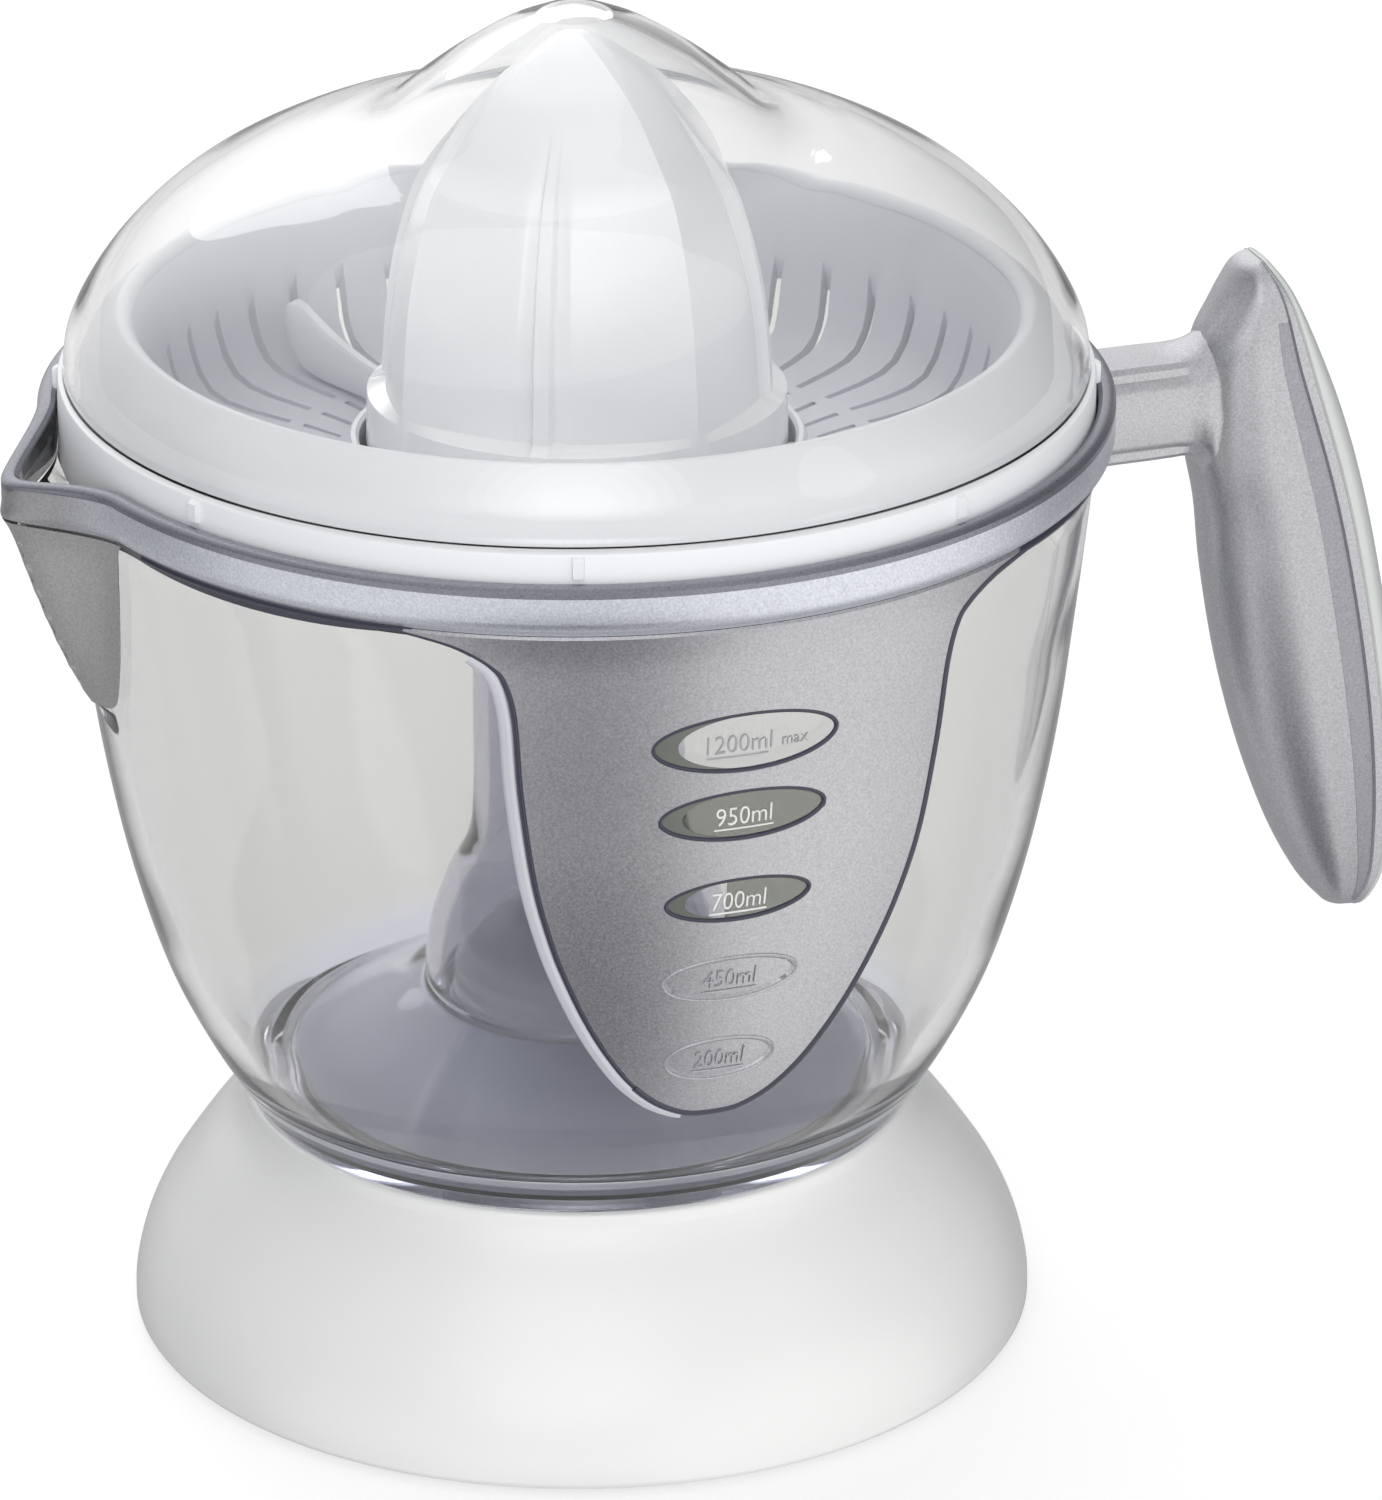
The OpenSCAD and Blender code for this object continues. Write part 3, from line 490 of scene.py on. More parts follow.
# Painted shade: near black, for dark lines along the panel's edge, under the rim and round the
# windows
edge_shade = finish("edge_shade", (0.045, 0.045, 0.075), 0.24, vary=0.2, grain=500.0, bump=0.05,
                   coat=0.25)
mark_grey = finish("mark_grey", (0.40, 0.40, 0.41), 0.3, vary=0.1, grain=900.0, bump=0.1)
steel = finish("steel", (0.58, 0.58, 0.59), 0.28, 1.0, vary=0.1, grain=500.0, bump=0.12,
               stretch=(1, 1, 9))
plate_steel = finish("plate_steel", (0.56, 0.58, 0.62), 0.36, 1.0, vary=0.14, grain=260.0,
                     bump=0.12, stretch=(1, 9, 1))
bronze = finish("bronze", (0.56, 0.37, 0.16), 0.42, 1.0, vary=0.2, grain=1600.0, bump=0.3)
magnet = finish("magnet", (0.05, 0.05, 0.06), 0.6, vary=0.3, grain=1200.0, bump=0.3)
nylon = finish("nylon", (0.78, 0.75, 0.66), 0.38, vary=0.05, grain=1100.0, bump=0.12)
bobbin = finish("bobbin", (0.74, 0.70, 0.58), 0.45, vary=0.06, grain=900.0, bump=0.2)
rubber = finish("rubber", (0.05, 0.05, 0.055), 0.72, vary=0.25, grain=1300.0, bump=0.35)
black_case = finish("black_case", (0.03, 0.03, 0.032), 0.4, vary=0.2, grain=1400.0, bump=0.25)
red_button = finish("red_button", (0.52, 0.03, 0.03), 0.3, vary=0.1, grain=800.0, bump=0.1)
wire_blue = finish("wire_blue", (0.05, 0.12, 0.42), 0.36, vary=0.15, grain=900.0, bump=0.15)
laminations = striped("laminations", (0.20, 0.20, 0.21), (0.42, 0.42, 0.43), 0.42, 0.9, 320.0,
                      "Z", 0.5)
windings = striped("windings", (0.34, 0.11, 0.04), (0.70, 0.28, 0.12), 0.3, 0.9, 420.0,
                   "X", 0.8)

FINISH_OF_SLOT = {
    "white_gloss": gloss_white, "white_satin": satin_white, "cool_white": cool_white,
    "light_grey": cover_grey, "clear": jug_clear, "clear_lid": lid_clear, "steel": steel,
    "plate_steel": plate_steel, "core_steel": laminations, "copper": windings,
    "bobbin": bobbin, "bronze": bronze, "magnet": magnet, "gear_white": nylon,
    "soft_rubber": rubber, "switch_black": black_case, "switch_red": red_button,
    "wire_blue": wire_blue,
}
for part in frame["record"]["subparts"]:
    cad = frame["nodes"][part["node"]]
    for place in cad.material_slots:
        place.material = FINISH_OF_SLOT[part["material_slot"]]


# ---- Base ----

base_outside = [(72.6, 1.5)] + curve(
    [(73, 2.1), (72.8, 6), (71.3, 12), (68.6, 18), (65, 23.6), (61, 29.2), (56.6, 34.6),
     (54.6, 38)]) + [(54.5, 39.3), (54.3, 39.75), (53.9, 40)]
base_deck = [(49.4, 40), (49, 39.6), (49, 38.5), (48.7, 38.2), (21.2, 38.2), (20.5, 38.9)]
base_boss = curve([(20.5, 40), (20.5, 58), (19.3, 62), (15, 66.4), (10.6, 69.6), (9.2, 74)], 8)
base_tower = [(8.6, 103.4), (8.2, 104), (6.5, 104), (6.5, 96), (5.2, 96), (5.2, 65), (6.5, 65),
              (6.5, 57), (18, 57), (18, 35.7), (50.5, 35.7)]
base_inside = curve(
    [(50.5, 35.7), (54.4, 33), (58.7, 28), (62.6, 22.4), (66, 17), (68.7, 11.4), (70.2, 6),
     (70.4, 1.5)])[1:]
base = turned("base_shell", base_outside + base_deck + base_boss + base_tower + base_inside,
              gloss_white, "base")
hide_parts("base_housing")

# Mouth of the cord gland: a shallow cup in front of the wall
GLAND_Z = 11.0
gland_cup = [(69.4, 5.1), (73.5, 5.1), (73.9, 4.7), (73.9, 3.6), (73.5, 3.2), (72.9, 3.2)]
loft("gland_mouth", [[(r * math.cos(k * math.pi / 16), y, GLAND_Z + r * math.sin(k * math.pi / 16))
                      for k in range(32)] for y, r in gland_cup], rubber, "base")


# ---- Jug ----

WALL = 2.5
wall_outside = curve(
    [(53.8, 40.4), (57.6, 46.4), (61.6, 53.4), (66, 62.6), (69.4, 72.4), (72.4, 83.6),
     (74.8, 95), (76.8, 107), (78.4, 120), (79.8, 132), (81.2, 145)])
wall_inside = [(r - WALL, z) for r, z in curve(
    [(52, 44.2), (56.3, 47.6), (60.8, 54.6), (65.4, 64), (68.8, 73.6), (71.9, 84.6),
     (74.4, 96), (76.5, 108), (78.2, 121), (79.7, 133), (81.2, 149.5)])]
RIM_R = 84.35
rim_outside = [(81.9, 148.6), (82.3, 149.6), (83.3, 150.5), (84.15, 151.3), (RIM_R, 152.4),
               (RIM_R, 156.2), (84.15, 157.2), (83.5, 157.75)]
rim = rim_outside + [(82.9, 157.8), (82.1, 157.6), (81.6, 157), (81.6, 149.8), (81.2, 149.5)]
bell_outside = curve([(25, 57.6), (25, 62), (23.8, 68), (21.2, 75), (18.6, 80), (17.3, 85),
                      (16.9, 94)])
bell_inside = [(r - 2.4, z) for r, z in curve(
    [(25, 55.6), (25, 59), (23.8, 66), (21.2, 73), (18.6, 78.4), (17.3, 84), (16.9, 94)])]
tube_end = [(16.6, 135.2), (15.8, 136), (14.8, 136), (14.2, 135.4)]
jug_foot = [(46.4, 42.9), (46.4, 38.9), (46.6, 38.7), (48.4, 38.7), (48.6, 38.9),
            (48.6, 41.8), (50, 41.8), (50, 40.6), (50.2, 40.4), (53.4, 40.4)]
outside_table = [(z, r) for r, z in wall_outside + rim_outside]
SPOUT_LOW = 113.5  # where the spout begins
TIP_OUT = 8.8  # how far its tip stands out
TIP_Z = 154.0


def bulge(z, angle):
    """How far the spout pushes the wall out at a height and an angle, from 0 to 1 of
    its full reach there, and that reach."""
    if z <= SPOUT_LOW:
        return 0.0, 0.0
    rise = (z - SPOUT_LOW) / 40.5
    half = 4 + 12.3 * min(1.0, ((z - SPOUT_LOW) / 44)) ** 0.8
    off = abs((angle - SPOUT + 180) % 360 - 180) / half
    soft = 0.12
    share = max(0.0, 1 - math.hypot(off, soft)) / (1 - soft)
    return share ** 1.7, 12.2 * rise ** 0.6


def lip_drop(z, angle):
    """How much the rim falls towards the spout's tip."""
    share, _ = bulge(TIP_Z, angle)
    return 3.3 * share * max(0.0, min(1.0, (z - 145) / 12.8))


def to_tip(reach, z):
    """The spout's reach, which turns into the tip's at the foot of the rim."""
    return reach + (TIP_OUT - reach) * smoothstep(149.0, 152.0, z)


def jug_outside(z, angle):
    share, reach = bulge(z, angle)
    return lookup(outside_table, z) + share * to_tip(reach, z)


def jug_point(angle, z, lift):
    """A point a little above the jug's outer face."""
    return polar(jug_outside(z, angle) + lift, angle, z - lip_drop(z, angle))


def jug_shape(i, r, z, angle):
    if z <= SPOUT_LOW or r < 40:
        return r, z
    share, reach = bulge(z, angle)
    row = i - len(wall_outside)
    if 0 <= row < len(rim_outside):
        reach = to_tip(reach, z)
    elif len(rim_outside) <= row < len(rim):
        reach = TIP_OUT + 0.3
    return r + share * reach, z - lip_drop(z, angle)


jug_angles = []  # closer together at the spout
step_angle = 0.0
while step_angle < 360 - 1e-6:
    jug_angles.append(step_angle)
    step_angle += 0.5 if 160 <= step_angle < 200 else 1.25
jug_profile = (wall_outside + rim + wall_inside[::-1][1:] + [(47, 45.3), (44, 46.9), (38, 50.1),
               (33, 52.8), (28, 55.5), (26.4, 56.2), (25.4, 56.8)] + bell_outside + tube_end
               + bell_inside[::-1] + jug_foot)
jug = turned("jug_shell", jug_profile, jug_clear, "jug", jug_angles, jug_shape)
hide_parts("jug")

# Front panel: its half-angle at each height, and the windows in it
STRETCH = 1.38  # millimetres of flat width for a degree round the jug
panel_edge = curve([(0.0, 62.4), (3.4, 62.9), (7.4, 65.4), (11, 69.6), (14, 75), (16.6, 81),
                    (19, 88), (21.2, 96), (23.2, 107), (24.5, 122), (25, 135), (26, 141.4),
                    (27.6, 144.2), (31.4, 147.2), (37, 149)], 6)
panel_outline = [(a * STRETCH, z) for a, z in panel_edge] + [
    (-a * STRETCH, z) for a, z in reversed(panel_edge[1:])]
# Windows: height, half width in millimetres, half height, mark, clear or not
windows = [(129.7, 15, 5.1, "1200ml max", True), (117.2, 13.5, 4.4, "950ml", True),
           (102.4, 11.9, 3.9, "700ml", True), (88.2, 10.4, 3.5, "450ml", False),
           (73.1, 8.4, 3.5, "200ml", False)]


def ellipse(z, half_width, half_height, count=72):
    """A window's outline in the panel's flat coordinates, anticlockwise."""
    wide = math.degrees(half_width / lookup(outside_table, z)) * STRETCH
    return [(wide * math.cos(2 * math.pi * k / count), z + half_height * math.sin(
        2 * math.pi * k / count)) for k in range(count)]


def on_panel(u, v, lift):
    lean = 0.9 * (1 - smoothstep(60.0, 112.0, v))
    return jug_point(FRONT - lean + u / STRETCH, v, lift)


PANEL_LIFT = 0.5
holes = [ellipse(z, w, h) for z, w, h, _, _ in windows]
skin("coat_panel", panel_outline, holes, on_panel, 0.03, PANEL_LIFT, 0.45, coat_silver, "jug")


def laid(flat_points, lift):
    """A path with its upward directions from points on the panel."""
    out = []
    for u, v in flat_points:
        p = Vector(on_panel(u, v, lift))
        out.append((tuple(p), tuple(Vector((p.x, p.y, 0)).normalized())))
    return out


# Painted shade: darker panes over the 950 window and part of the 700 window, for the shaded inside
# of the jug
skin("window_pane_950", ellipse(*windows[1][:3]), [], on_panel, 0.02, 0.06, 0.0, pane_dark, "jug")
half_pane = [p for p in ellipse(*windows[2][:3]) if p[0] > -3.0]
skin("window_pane_700", half_pane, [], on_panel, 0.02, 0.06, 0.0, pane_dark, "jug")

# A raised edge runs under the rim from the spout, round the panel and on to the handle.
# It is thinner at the spout's side, down to a point near the panel's foot
# Painted shade: the edge is drawn as a near-black bead
EDGE_Z = 149.0
side_run = [(a * STRETCH, EDGE_Z) for a in range(40, 79, 2)]
spout_run = side_run[:17]
edge_line = ([(-u, v) for u, v in reversed(spout_run)]
             + [(-(a + 0.4) * STRETCH, z) for a, z in reversed(panel_edge[1:])]
             + [((a + 0.4) * STRETCH, z) for a, z in panel_edge[1:]] + side_run)
left_edge = [(-(a + 1.5) * STRETCH, z) for a, z in reversed(panel_edge[5:-10])]
# Painted highlight: a light bead along the panel's left border, where the raised edge catches
# light from the left
tube("panel_border", laid(left_edge, 0.1), 1.0, edge_highlight, "jug", flat=0.6)
thinner = len(panel_edge)  # points of the thinner part
tube("panel_edge", laid(edge_line[thinner - 1:], 0.05), 0.75, edge_shade, "jug")
tube("panel_edge_low", laid(edge_line[:thinner], 0.05), 0.5, edge_shade, "jug")

for z, w, h, mark, is_clear in windows:
    label = mark.split("m")[0]
    loop = ellipse(z, w, h)
    if is_clear:
        # Painted shade: a dark ring round the inside of each clear window
        tube("window_rim_" + label, laid(grown(loop, -0.3), 0.1), 0.4, edge_shade, "jug",
             closed=True)
        # Painted shade: a dark crescent inside the window, on its side next to the spout
        wide = max(u for u, _ in loop)
        outer_arc = loop[20:53]  # the side next to the spout
        inner_arc = [(u * 0.82 + 0.1 * wide, z + (v - z) * 0.9) for u, v in reversed(outer_arc)]
        skin("window_crescent_" + label, outer_arc + inner_arc, [], on_panel, 0.02, 0.14, 0.02,
             pane_shade, "jug")
    else:
        skin("window_plate_" + label, grown(loop, 0.5), [], on_panel, 0.02, 0.12, 0.1,
             coat_silver, "jug")
        tube("window_rim_" + label, laid(grown(loop, 0.35), PANEL_LIFT), 0.24, coat_silver, "jug",
             closed=True)


MARK_DEPTH = 0.3
LETTER_WIDTH = 0.86  # of a letter's own width in the font
LETTER_MIDDLE = 0.36  # height of a number's middle over its foot, in font sizes


def mark_piece(name, text, height, u, z, lift, material):
    """Raised lettering with thin strokes, laid round the jug."""
    font = bpy.data.curves.new(name + "_text", "FONT")
    font.body = text
    font.size = 1.0
    font.align_x = "CENTER"
    font.offset = -0.012
    font.extrude = 0.5
    font.resolution_u = 3
    carrier = bpy.data.objects.new(name + "_text", font)
    bpy.context.scene.collection.objects.link(carrier)
    bpy.context.view_layer.update()
    mesh = bpy.data.meshes.new_from_object(carrier)
    bpy.data.objects.remove(carrier)
    bm = bmesh.new()
    bm.from_mesh(mesh)
    bmesh.ops.remove_doubles(bm, verts=bm.verts, dist=1e-5)
    verts = []
    for v in bm.verts:
        x, y, up = v.co
        verts.append(on_panel(u + x * height * LETTER_WIDTH,
                              z + y * height - height * LETTER_MIDDLE,
                              lift + (up + 0.5) * MARK_DEPTH))
    bm.verts.index_update()
    faces = [tuple(v.index for v in f.verts) for f in bm.faces]
    bm.free()
    bpy.data.meshes.remove(mesh)
    return make(name, verts, faces, material, "jug", 40.0)


for z, w, h, mark, is_clear in windows:
    label = mark.split("m")[0]
    lift = 0.06 if is_clear else 0.12
    ink = coat_silver
    if is_clear:
        ink = mark_grey if label == "1200" else gloss_white
    number = mark.split(" ")[0]
    shift = -1.5 if " " in mark else 0.0
    mark_piece("mark_" + label, number, 4.4, shift, z, lift, ink)
    if " " in mark:
        mark_piece("mark_max", "max", 3.0, 7.6, z - 0.4, lift, mark_grey)
    under = [(shift + k * 0.8, z - 2.3) for k in range(-6, 7)]
    tube("mark_line_" + label, laid(under, lift + 0.1), 0.16, ink, "jug",
         sides=6)

turned("floor_frost", [(24, 54.8), (46, 43.05), (46, 42.75), (24, 54.5)], floor_frost, "jug")

# Coat on the rim band, all the way round, and on the spout. Its profiles are lifts over
# the wall, added to a radius that the shape takes off again
WALL_R = 80
band = [(149.6, 0.1), (150.5, 0.1), (151.3, 0.1), (152.4, 0.12), (154.2, 0.12), (155.6, 0.1),
        (156.4, 0.1), (156.4, 0.02), (154.2, 0.02), (152.4, 0.02), (151.3, 0.02), (150.5, 0.02),
        (149.6, 0.02)]
turned("coat_rim", [(lift + WALL_R, z) for z, lift in band], rim_silver, "jug",
       jug_angles, lambda i, r, z, a: (jug_outside(z, a) + r - WALL_R, z - lip_drop(z, a)))
# Painted shade: the coat over the rim's top is a darker silver, for the dark line of the gap round
# the strainer's skirt
lip = [(0.12, 156.3), (0.12, 157.2), (-0.4, 157.75), (-1.1, 158), (-2, 157.95), (-2.6, 157.4),
       (-2.6, 156.9), (-2.2, 156.9), (-1.6, 157.5), (-0.9, 157.6), (-0.3, 157), (-0.1, 156.3)]
LIP_TOP = 158.0
turned("coat_lip", [(lift + RIM_R, z) for lift, z in lip], lip_shade_silver, "jug",
       jug_angles,
       lambda i, r, z, a: (r + bulge(TIP_Z, a)[0] * TIP_OUT, z - lip_drop(LIP_TOP, a)))


def rim_shade(name, first, last):
    """A dark line on the wall close under the rim, thin at its ends: painted shade under the rim's
    overhang.
    """
    rings = []
    count = 40
    top = 149.7
    for k in range(count + 1):
        angle = first + (last - first) * k / count
        low = 149.2 - 1.8 * math.sqrt(math.sin(math.pi * k / count) + 1e-9)
        rings.append([jug_point(angle, z, lift) for z, lift in
                      ((low, -0.05), (low, 0.13), (top, 0.13), (top, -0.05))])
    loft(name, rings, edge_shade, "jug")


rim_shade("rim_shade_left", -167.0, -126.0)
rim_shade("rim_shade_right", -54.0, -7.0)
spout_side = curve([(2.5, 115.6), (5.3, 118), (8.2, 126), (10.4, 136), (12.2, 146),
                    (13.4, 148.8)])
spout_outline = [(a * STRETCH, z) for a, z in spout_side] + [
    (-a * STRETCH, z) for a, z in reversed(spout_side)]
skin("coat_spout", spout_outline, [], lambda u, v, lift: jug_point(SPOUT + u / STRETCH, v, lift),
     0.02, 0.12, 0.1, spout_silver, "jug")


# ---- Handle ----

grip_inside = curve([(130, 50.8), (125.6, 56), (120.2, 66.1), (114.8, 80.4), (110.6, 95.6),
                     (107.6, 112), (106.2, 124), (104.4, 132.4), (104, 139), (104.2, 147),
                     (105.2, 153), (107.6, 157.4), (110, 161.6), (112.2, 165), (114.6, 166.3)])
grip_seam = curve([(134.6, 51), (136.4, 58), (136.2, 70), (134.2, 88), (131, 107), (126.8, 127),
                   (121.6, 146), (117.6, 160.4), (114.8, 166.3)])
grip_outside = curve([(135, 50.4), (138, 55.8), (139.75, 66), (139.95, 79), (138.6, 95),
                      (136, 110.7), (132.4, 127.4), (128.4, 141), (123.6, 153), (119.4, 161.6),
                      (116, 166.3)])
grip_half = curve([(3, 50), (6.6, 53), (9.6, 62), (12, 78), (13.2, 98), (13.4, 118),
                   (12.4, 138), (10.4, 154), (8, 162.6), (3.4, 166.3)])


def by_height(points):
    return sorted((z, x) for x, z in points)


inside_x, seam_x = by_height(grip_inside), by_height(grip_seam)
outside_x, half_y = by_height(grip_outside), by_height(grip_half)
# Heights of the grip's rings, closer together at its ends
levels = [50.9 + 115.3 * (0.5 - 0.5 * math.cos(math.pi * k / 90)) for k in range(91)]


def grip_ring(z):
    """Section of the grip's body: a lip at the seam, a flat side, a rounded back."""
    seam, back, half = lookup(seam_x, z), lookup(inside_x, z), lookup(half_y, z)
    deep = max(seam - back, 0.4)
    lip = min(1.6, deep * 0.1)
    flat_side = min(8.0, deep * 0.34)
    slim = min(1.5, half * 0.12)
    side = [(seam, half), (seam - lip, half), (seam - lip - 0.25, half - slim * 0.6),
            (seam - lip - flat_side * 0.5, half - slim * 0.75),
            (seam - lip - flat_side, half - slim * 1.05)]
    rest_x, rest_y = deep - lip - flat_side, half - slim * 1.05
    count = 14
    for k in range(1, count + 1):
        t = math.pi / 2 * k / count
        side.append((seam - lip - flat_side - rest_x * math.sin(t),
                     rest_y * math.cos(t) ** 0.9 if k < count else 0.0))
    return [(x, y, z) for x, y in side] + [(x, -y, z) for x, y in reversed(side[:-1])]


loft("jug_grip", [grip_ring(z) for z in levels], coat_silver, "jug", 24.0)


def shade_band_ring(z, sign):
    """Section of the darker strip beside the seam, a painted shade."""
    ring = grip_ring(z)
    (x0, y0, _), (x1, y1, _) = ring[2], ring[3]
    lift = 0.1
    return [(x0, sign * (y0 + lift), z), (x1, sign * (y1 + lift), z), (x1, sign * (y1 - lift), z),
            (x0, sign * (y0 - lift), z)]


# Painted shade: darker strips beside the grip's seam, for the shade of its hollow
for side_name, sign in (("front", -1), ("back", 1)):
    loft("grip_shade_band_" + side_name, [shade_band_ring(z, sign) for z in levels[6:-16]], grip_shade_silver, "jug")


def cover_ring(z):
    """Section of the cover: a crowned outside on a flat seam, with a small groove."""
    seam, out, half = lookup(seam_x, z) + 0.15, lookup(outside_x, z), lookup(half_y, z)
    deep = max(out - seam, 0.3)
    count = 16
    groove = 0.35
    side = [(seam, half - groove), (seam + groove, half)]
    for k in range(1, count + 1):
        t = math.pi / 2 * k / count
        side.append((seam + groove + (deep - groove) * math.sin(t),
                     half * math.cos(t) ** 0.8 if k < count else 0.0))
    return [(x, y, z) for x, y in side] + [(x, -y, z) for x, y in reversed(side[:-1])]


cover = loft("grip_cover", [cover_ring(z) for z in levels], cover_grey, "jug")
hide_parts("handle_cover")

# Arm: a bar with a step along its top and bottom, which rounds out into the grip
ARM_WIDE, ARM_TALL = 7.5, 8.7  # half of the arm's width and height
arm_section = [(ARM_WIDE, 0), (ARM_WIDE, 4.4), (6.9, 5.6), (6.0, 6.2), (6.0, 7.6), (5.2, 8.4),
               (2.8, 8.6), (0, ARM_TALL)]
arm_half = arm_section + [(-y, z) for y, z in reversed(arm_section[:-1])]
arm_loop = arm_half + [(y, -z) for y, z in reversed(arm_half[1:-1])]
arm_rings = []
for x, wide, tall, mid, blend in curve([
        (79.6, 1.1, 1.0, 143.2, 0), (84, 1.04, 0.99, 143.2, 0), (88, 0.98, 0.97, 143.2, 0),
        (95, 0.97, 0.97, 143.2, 0), (99, 0.98, 0.98, 143.2, 0.1), (101.4, 1.0, 1.03, 143.2, 0.4),
        (103.2, 1.04, 1.12, 143.1, 0.7), (104.6, 1.07, 1.24, 142.7, 0.9),
        (106, 1.06, 1.42, 142, 1), (107.4, 0.98, 1.5, 141.4, 1), (109, 0.8, 1.4, 141, 1)], 4):
    ring = []
    for y, z in arm_loop:
        even = blend / math.hypot(y / ARM_WIDE, z / ARM_TALL) + 1 - blend
        ring.append((x, y * wide * even, mid + z * tall * even))
    arm_rings.append(ring)
loft("jug_arm", arm_rings, coat_silver, "jug", 34.0)


# ---- Strainer ----

SLOTS = 44
SLOT_DEGREES = 1.6
basket_up = [(68.8, 170.4), (68, 167), (67.6, 164), (66.8, 159.5), (66, 155), (65, 151.4),
             (63.2, 148.4), (60.4, 146.8), (56.5, 145.9), (52, 145.3), (49.4, 145), (47, 144.7),
             (44, 144.2), (40.6, 143.5), (38, 143), (30, 142.6), (22, 142)]
basket_down = [(69.6, 163), (69.1, 161.5), (68.6, 159), (68, 154.4), (67, 151.4), (66, 149.2),
               (64, 146.4), (61.6, 145.1), (58, 144.2), (54, 143.5), (51, 143.2), (48.6, 142.9),
               (45, 142.3), (42, 141.7), (39, 141.1), (31, 140.6), (21.4, 140)]
WALL_SLOT = range(3, 11)  # rows of the basket that the long slot crosses
FLOOR_SLOT = range(11, 14)  # and the short one
ring_over = ([(68.9, 170.6)] + [(70.8 + 2 * math.cos(math.radians(a)),
             170.4 + 2 * math.sin(math.radians(a))) for a in range(170, 74, -12)]
             + curve([(71.3, 172.4), (75, 169.4), (77.1, 166.4), (77.5, 162.3)]))
SKIRT_R = 81.3
skirt = [(80.5, 162.3), (81.1, 162.1), (SKIRT_R, 161.6), (SKIRT_R, 150.1), (81, 149.8),
         (79.3, 149.8), (79.3, 160.2), (75.3, 160.2)]
ring_under = curve([(74.9, 164.6), (73.6, 168), (71, 167.4), (69.9, 165)])
collar = [(20.6, 140), (19.4, 139.4), (19.4, 130), (17.4, 130), (17.4, 147.4), (9, 147.4),
          (9, 150), (19.2, 150), (20, 149.2), (20, 142.6)]


def strainer_mesh():
    """A turned basket with slots cut through it, its two faces joined round each slot."""
    parts = 6  # angles for each slot and the wall after it
    pitch = 360.0 / SLOTS
    angles = []
    for s in range(SLOTS):
        start = s * pitch
        angles += [start, start + SLOT_DEGREES]
        rest = (pitch - SLOT_DEGREES) / (parts - 1)
        angles += [start + SLOT_DEGREES + rest * k for k in range(1, parts - 1)]
    n = len(angles)
    profile = (basket_up + collar[::-1] + basket_down[::-1] + ring_under[::-1] + skirt[::-1]
               + ring_over[::-1])
    verts = [polar(r, a, z) for r, z in profile for a in angles]
    rows = len(profile)
    last_low = len(basket_up) + len(collar) + len(basket_down) - 1
    row_of_lower = {i: last_low - i for i in range(len(basket_down))}
    cut_rows = list(WALL_SLOT)[:-1] + list(FLOOR_SLOT)[:-1]
    faces = []
    for i in range(rows):
        i1 = (i + 1) % rows
        for j in range(n):
            j1 = (j + 1) % n
            if j % parts == 0:
                if i in cut_rows:
                    continue
                if any(i == row_of_lower[c + 1] for c in cut_rows):
                    continue
            faces.append((i * n + j, i1 * n + j, i1 * n + j1, i * n + j1))
    for s in range(SLOTS):
        j, j1 = s * parts, s * parts + 1
        for c in cut_rows:
            u0, u1, d0, d1 = c, c + 1, row_of_lower[c], row_of_lower[c + 1]
            faces.append((u0 * n + j, u1 * n + j, d1 * n + j, d0 * n + j))
            faces.append((u0 * n + j1, d0 * n + j1, d1 * n + j1, u1 * n + j1))
        for span in (WALL_SLOT, FLOOR_SLOT):
            a, b = span[0], span[-1]
            da, db = row_of_lower[a], row_of_lower[b]
            faces.append((a * n + j, da * n + j, da * n + j1, a * n + j1))
            faces.append((b * n + j, b * n + j1, db * n + j1, db * n + j))
    return make("strainer_bowl", verts, faces, strainer_white, "strainer", 42.0)


strainer = strainer_mesh()
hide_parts("strainer")

for k in range(8):  # small lugs on the skirt
    a = 45 * k + 71.5
    rings = []
    spread = math.degrees(1.0 / SKIRT_R)
    for z, out in ((158.3, 0.1), (158.6, 0.75), (161.4, 0.8), (161.9, 0.1)):
        rings.append([polar(80.9, a - spread, z), polar(SKIRT_R + out, a - spread * 0.8, z),
                      polar(SKIRT_R + out, a + spread * 0.8, z), polar(80.9, a + spread, z)])
    loft(f"skirt_lug_{k + 1}", rings, strainer_white, "strainer")


# ---- Scraper ----

turned("scraper_ring", [(34.4, 144.2), (36.0, 144.2), (36.2, 144.5), (36.2, 149.4),
                        (35.6, 150.2), (34.9, 150.2), (34.4, 149.7)], cool_white, "scraper")
scraper_hub = turned("scraper_hub", [(20.1, 143.1), (22.4, 143.1), (22.6, 143.4), (22.6, 149.8),
                                     (22.3, 150), (20.4, 150), (20.1, 149.7)], cool_white,
                     "scraper")
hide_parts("scraper")
for k in range(4):
    rings = []
    for r, half in ((21.8, 2.6), (24, 2.2), (32, 2.2), (35.2, 2.6)):
        section = ((-half, 144.3), (half, 144.3), (half, 145.9), (half - 0.5, 146.4),
                   (0.5 - half, 146.4), (-half, 145.9))
        rings.append([swung(r, y, z, 90 * k + 165) for y, z in section])
    loft(f"scraper_spoke_{k + 1}", rings, cool_white, "scraper")
wing_low = curve([(35.4, 145.2), (48, 145.7), (56.6, 147), (60.2, 149.8), (62.0, 154.6),
                  (61.2, 157.9)], 4)
wing_high = curve([(35.4, 149.6), (44, 151.6), (51, 154.4), (56, 156.9), (59.4, 158.4),
                   (61.0, 158.2)], 4)
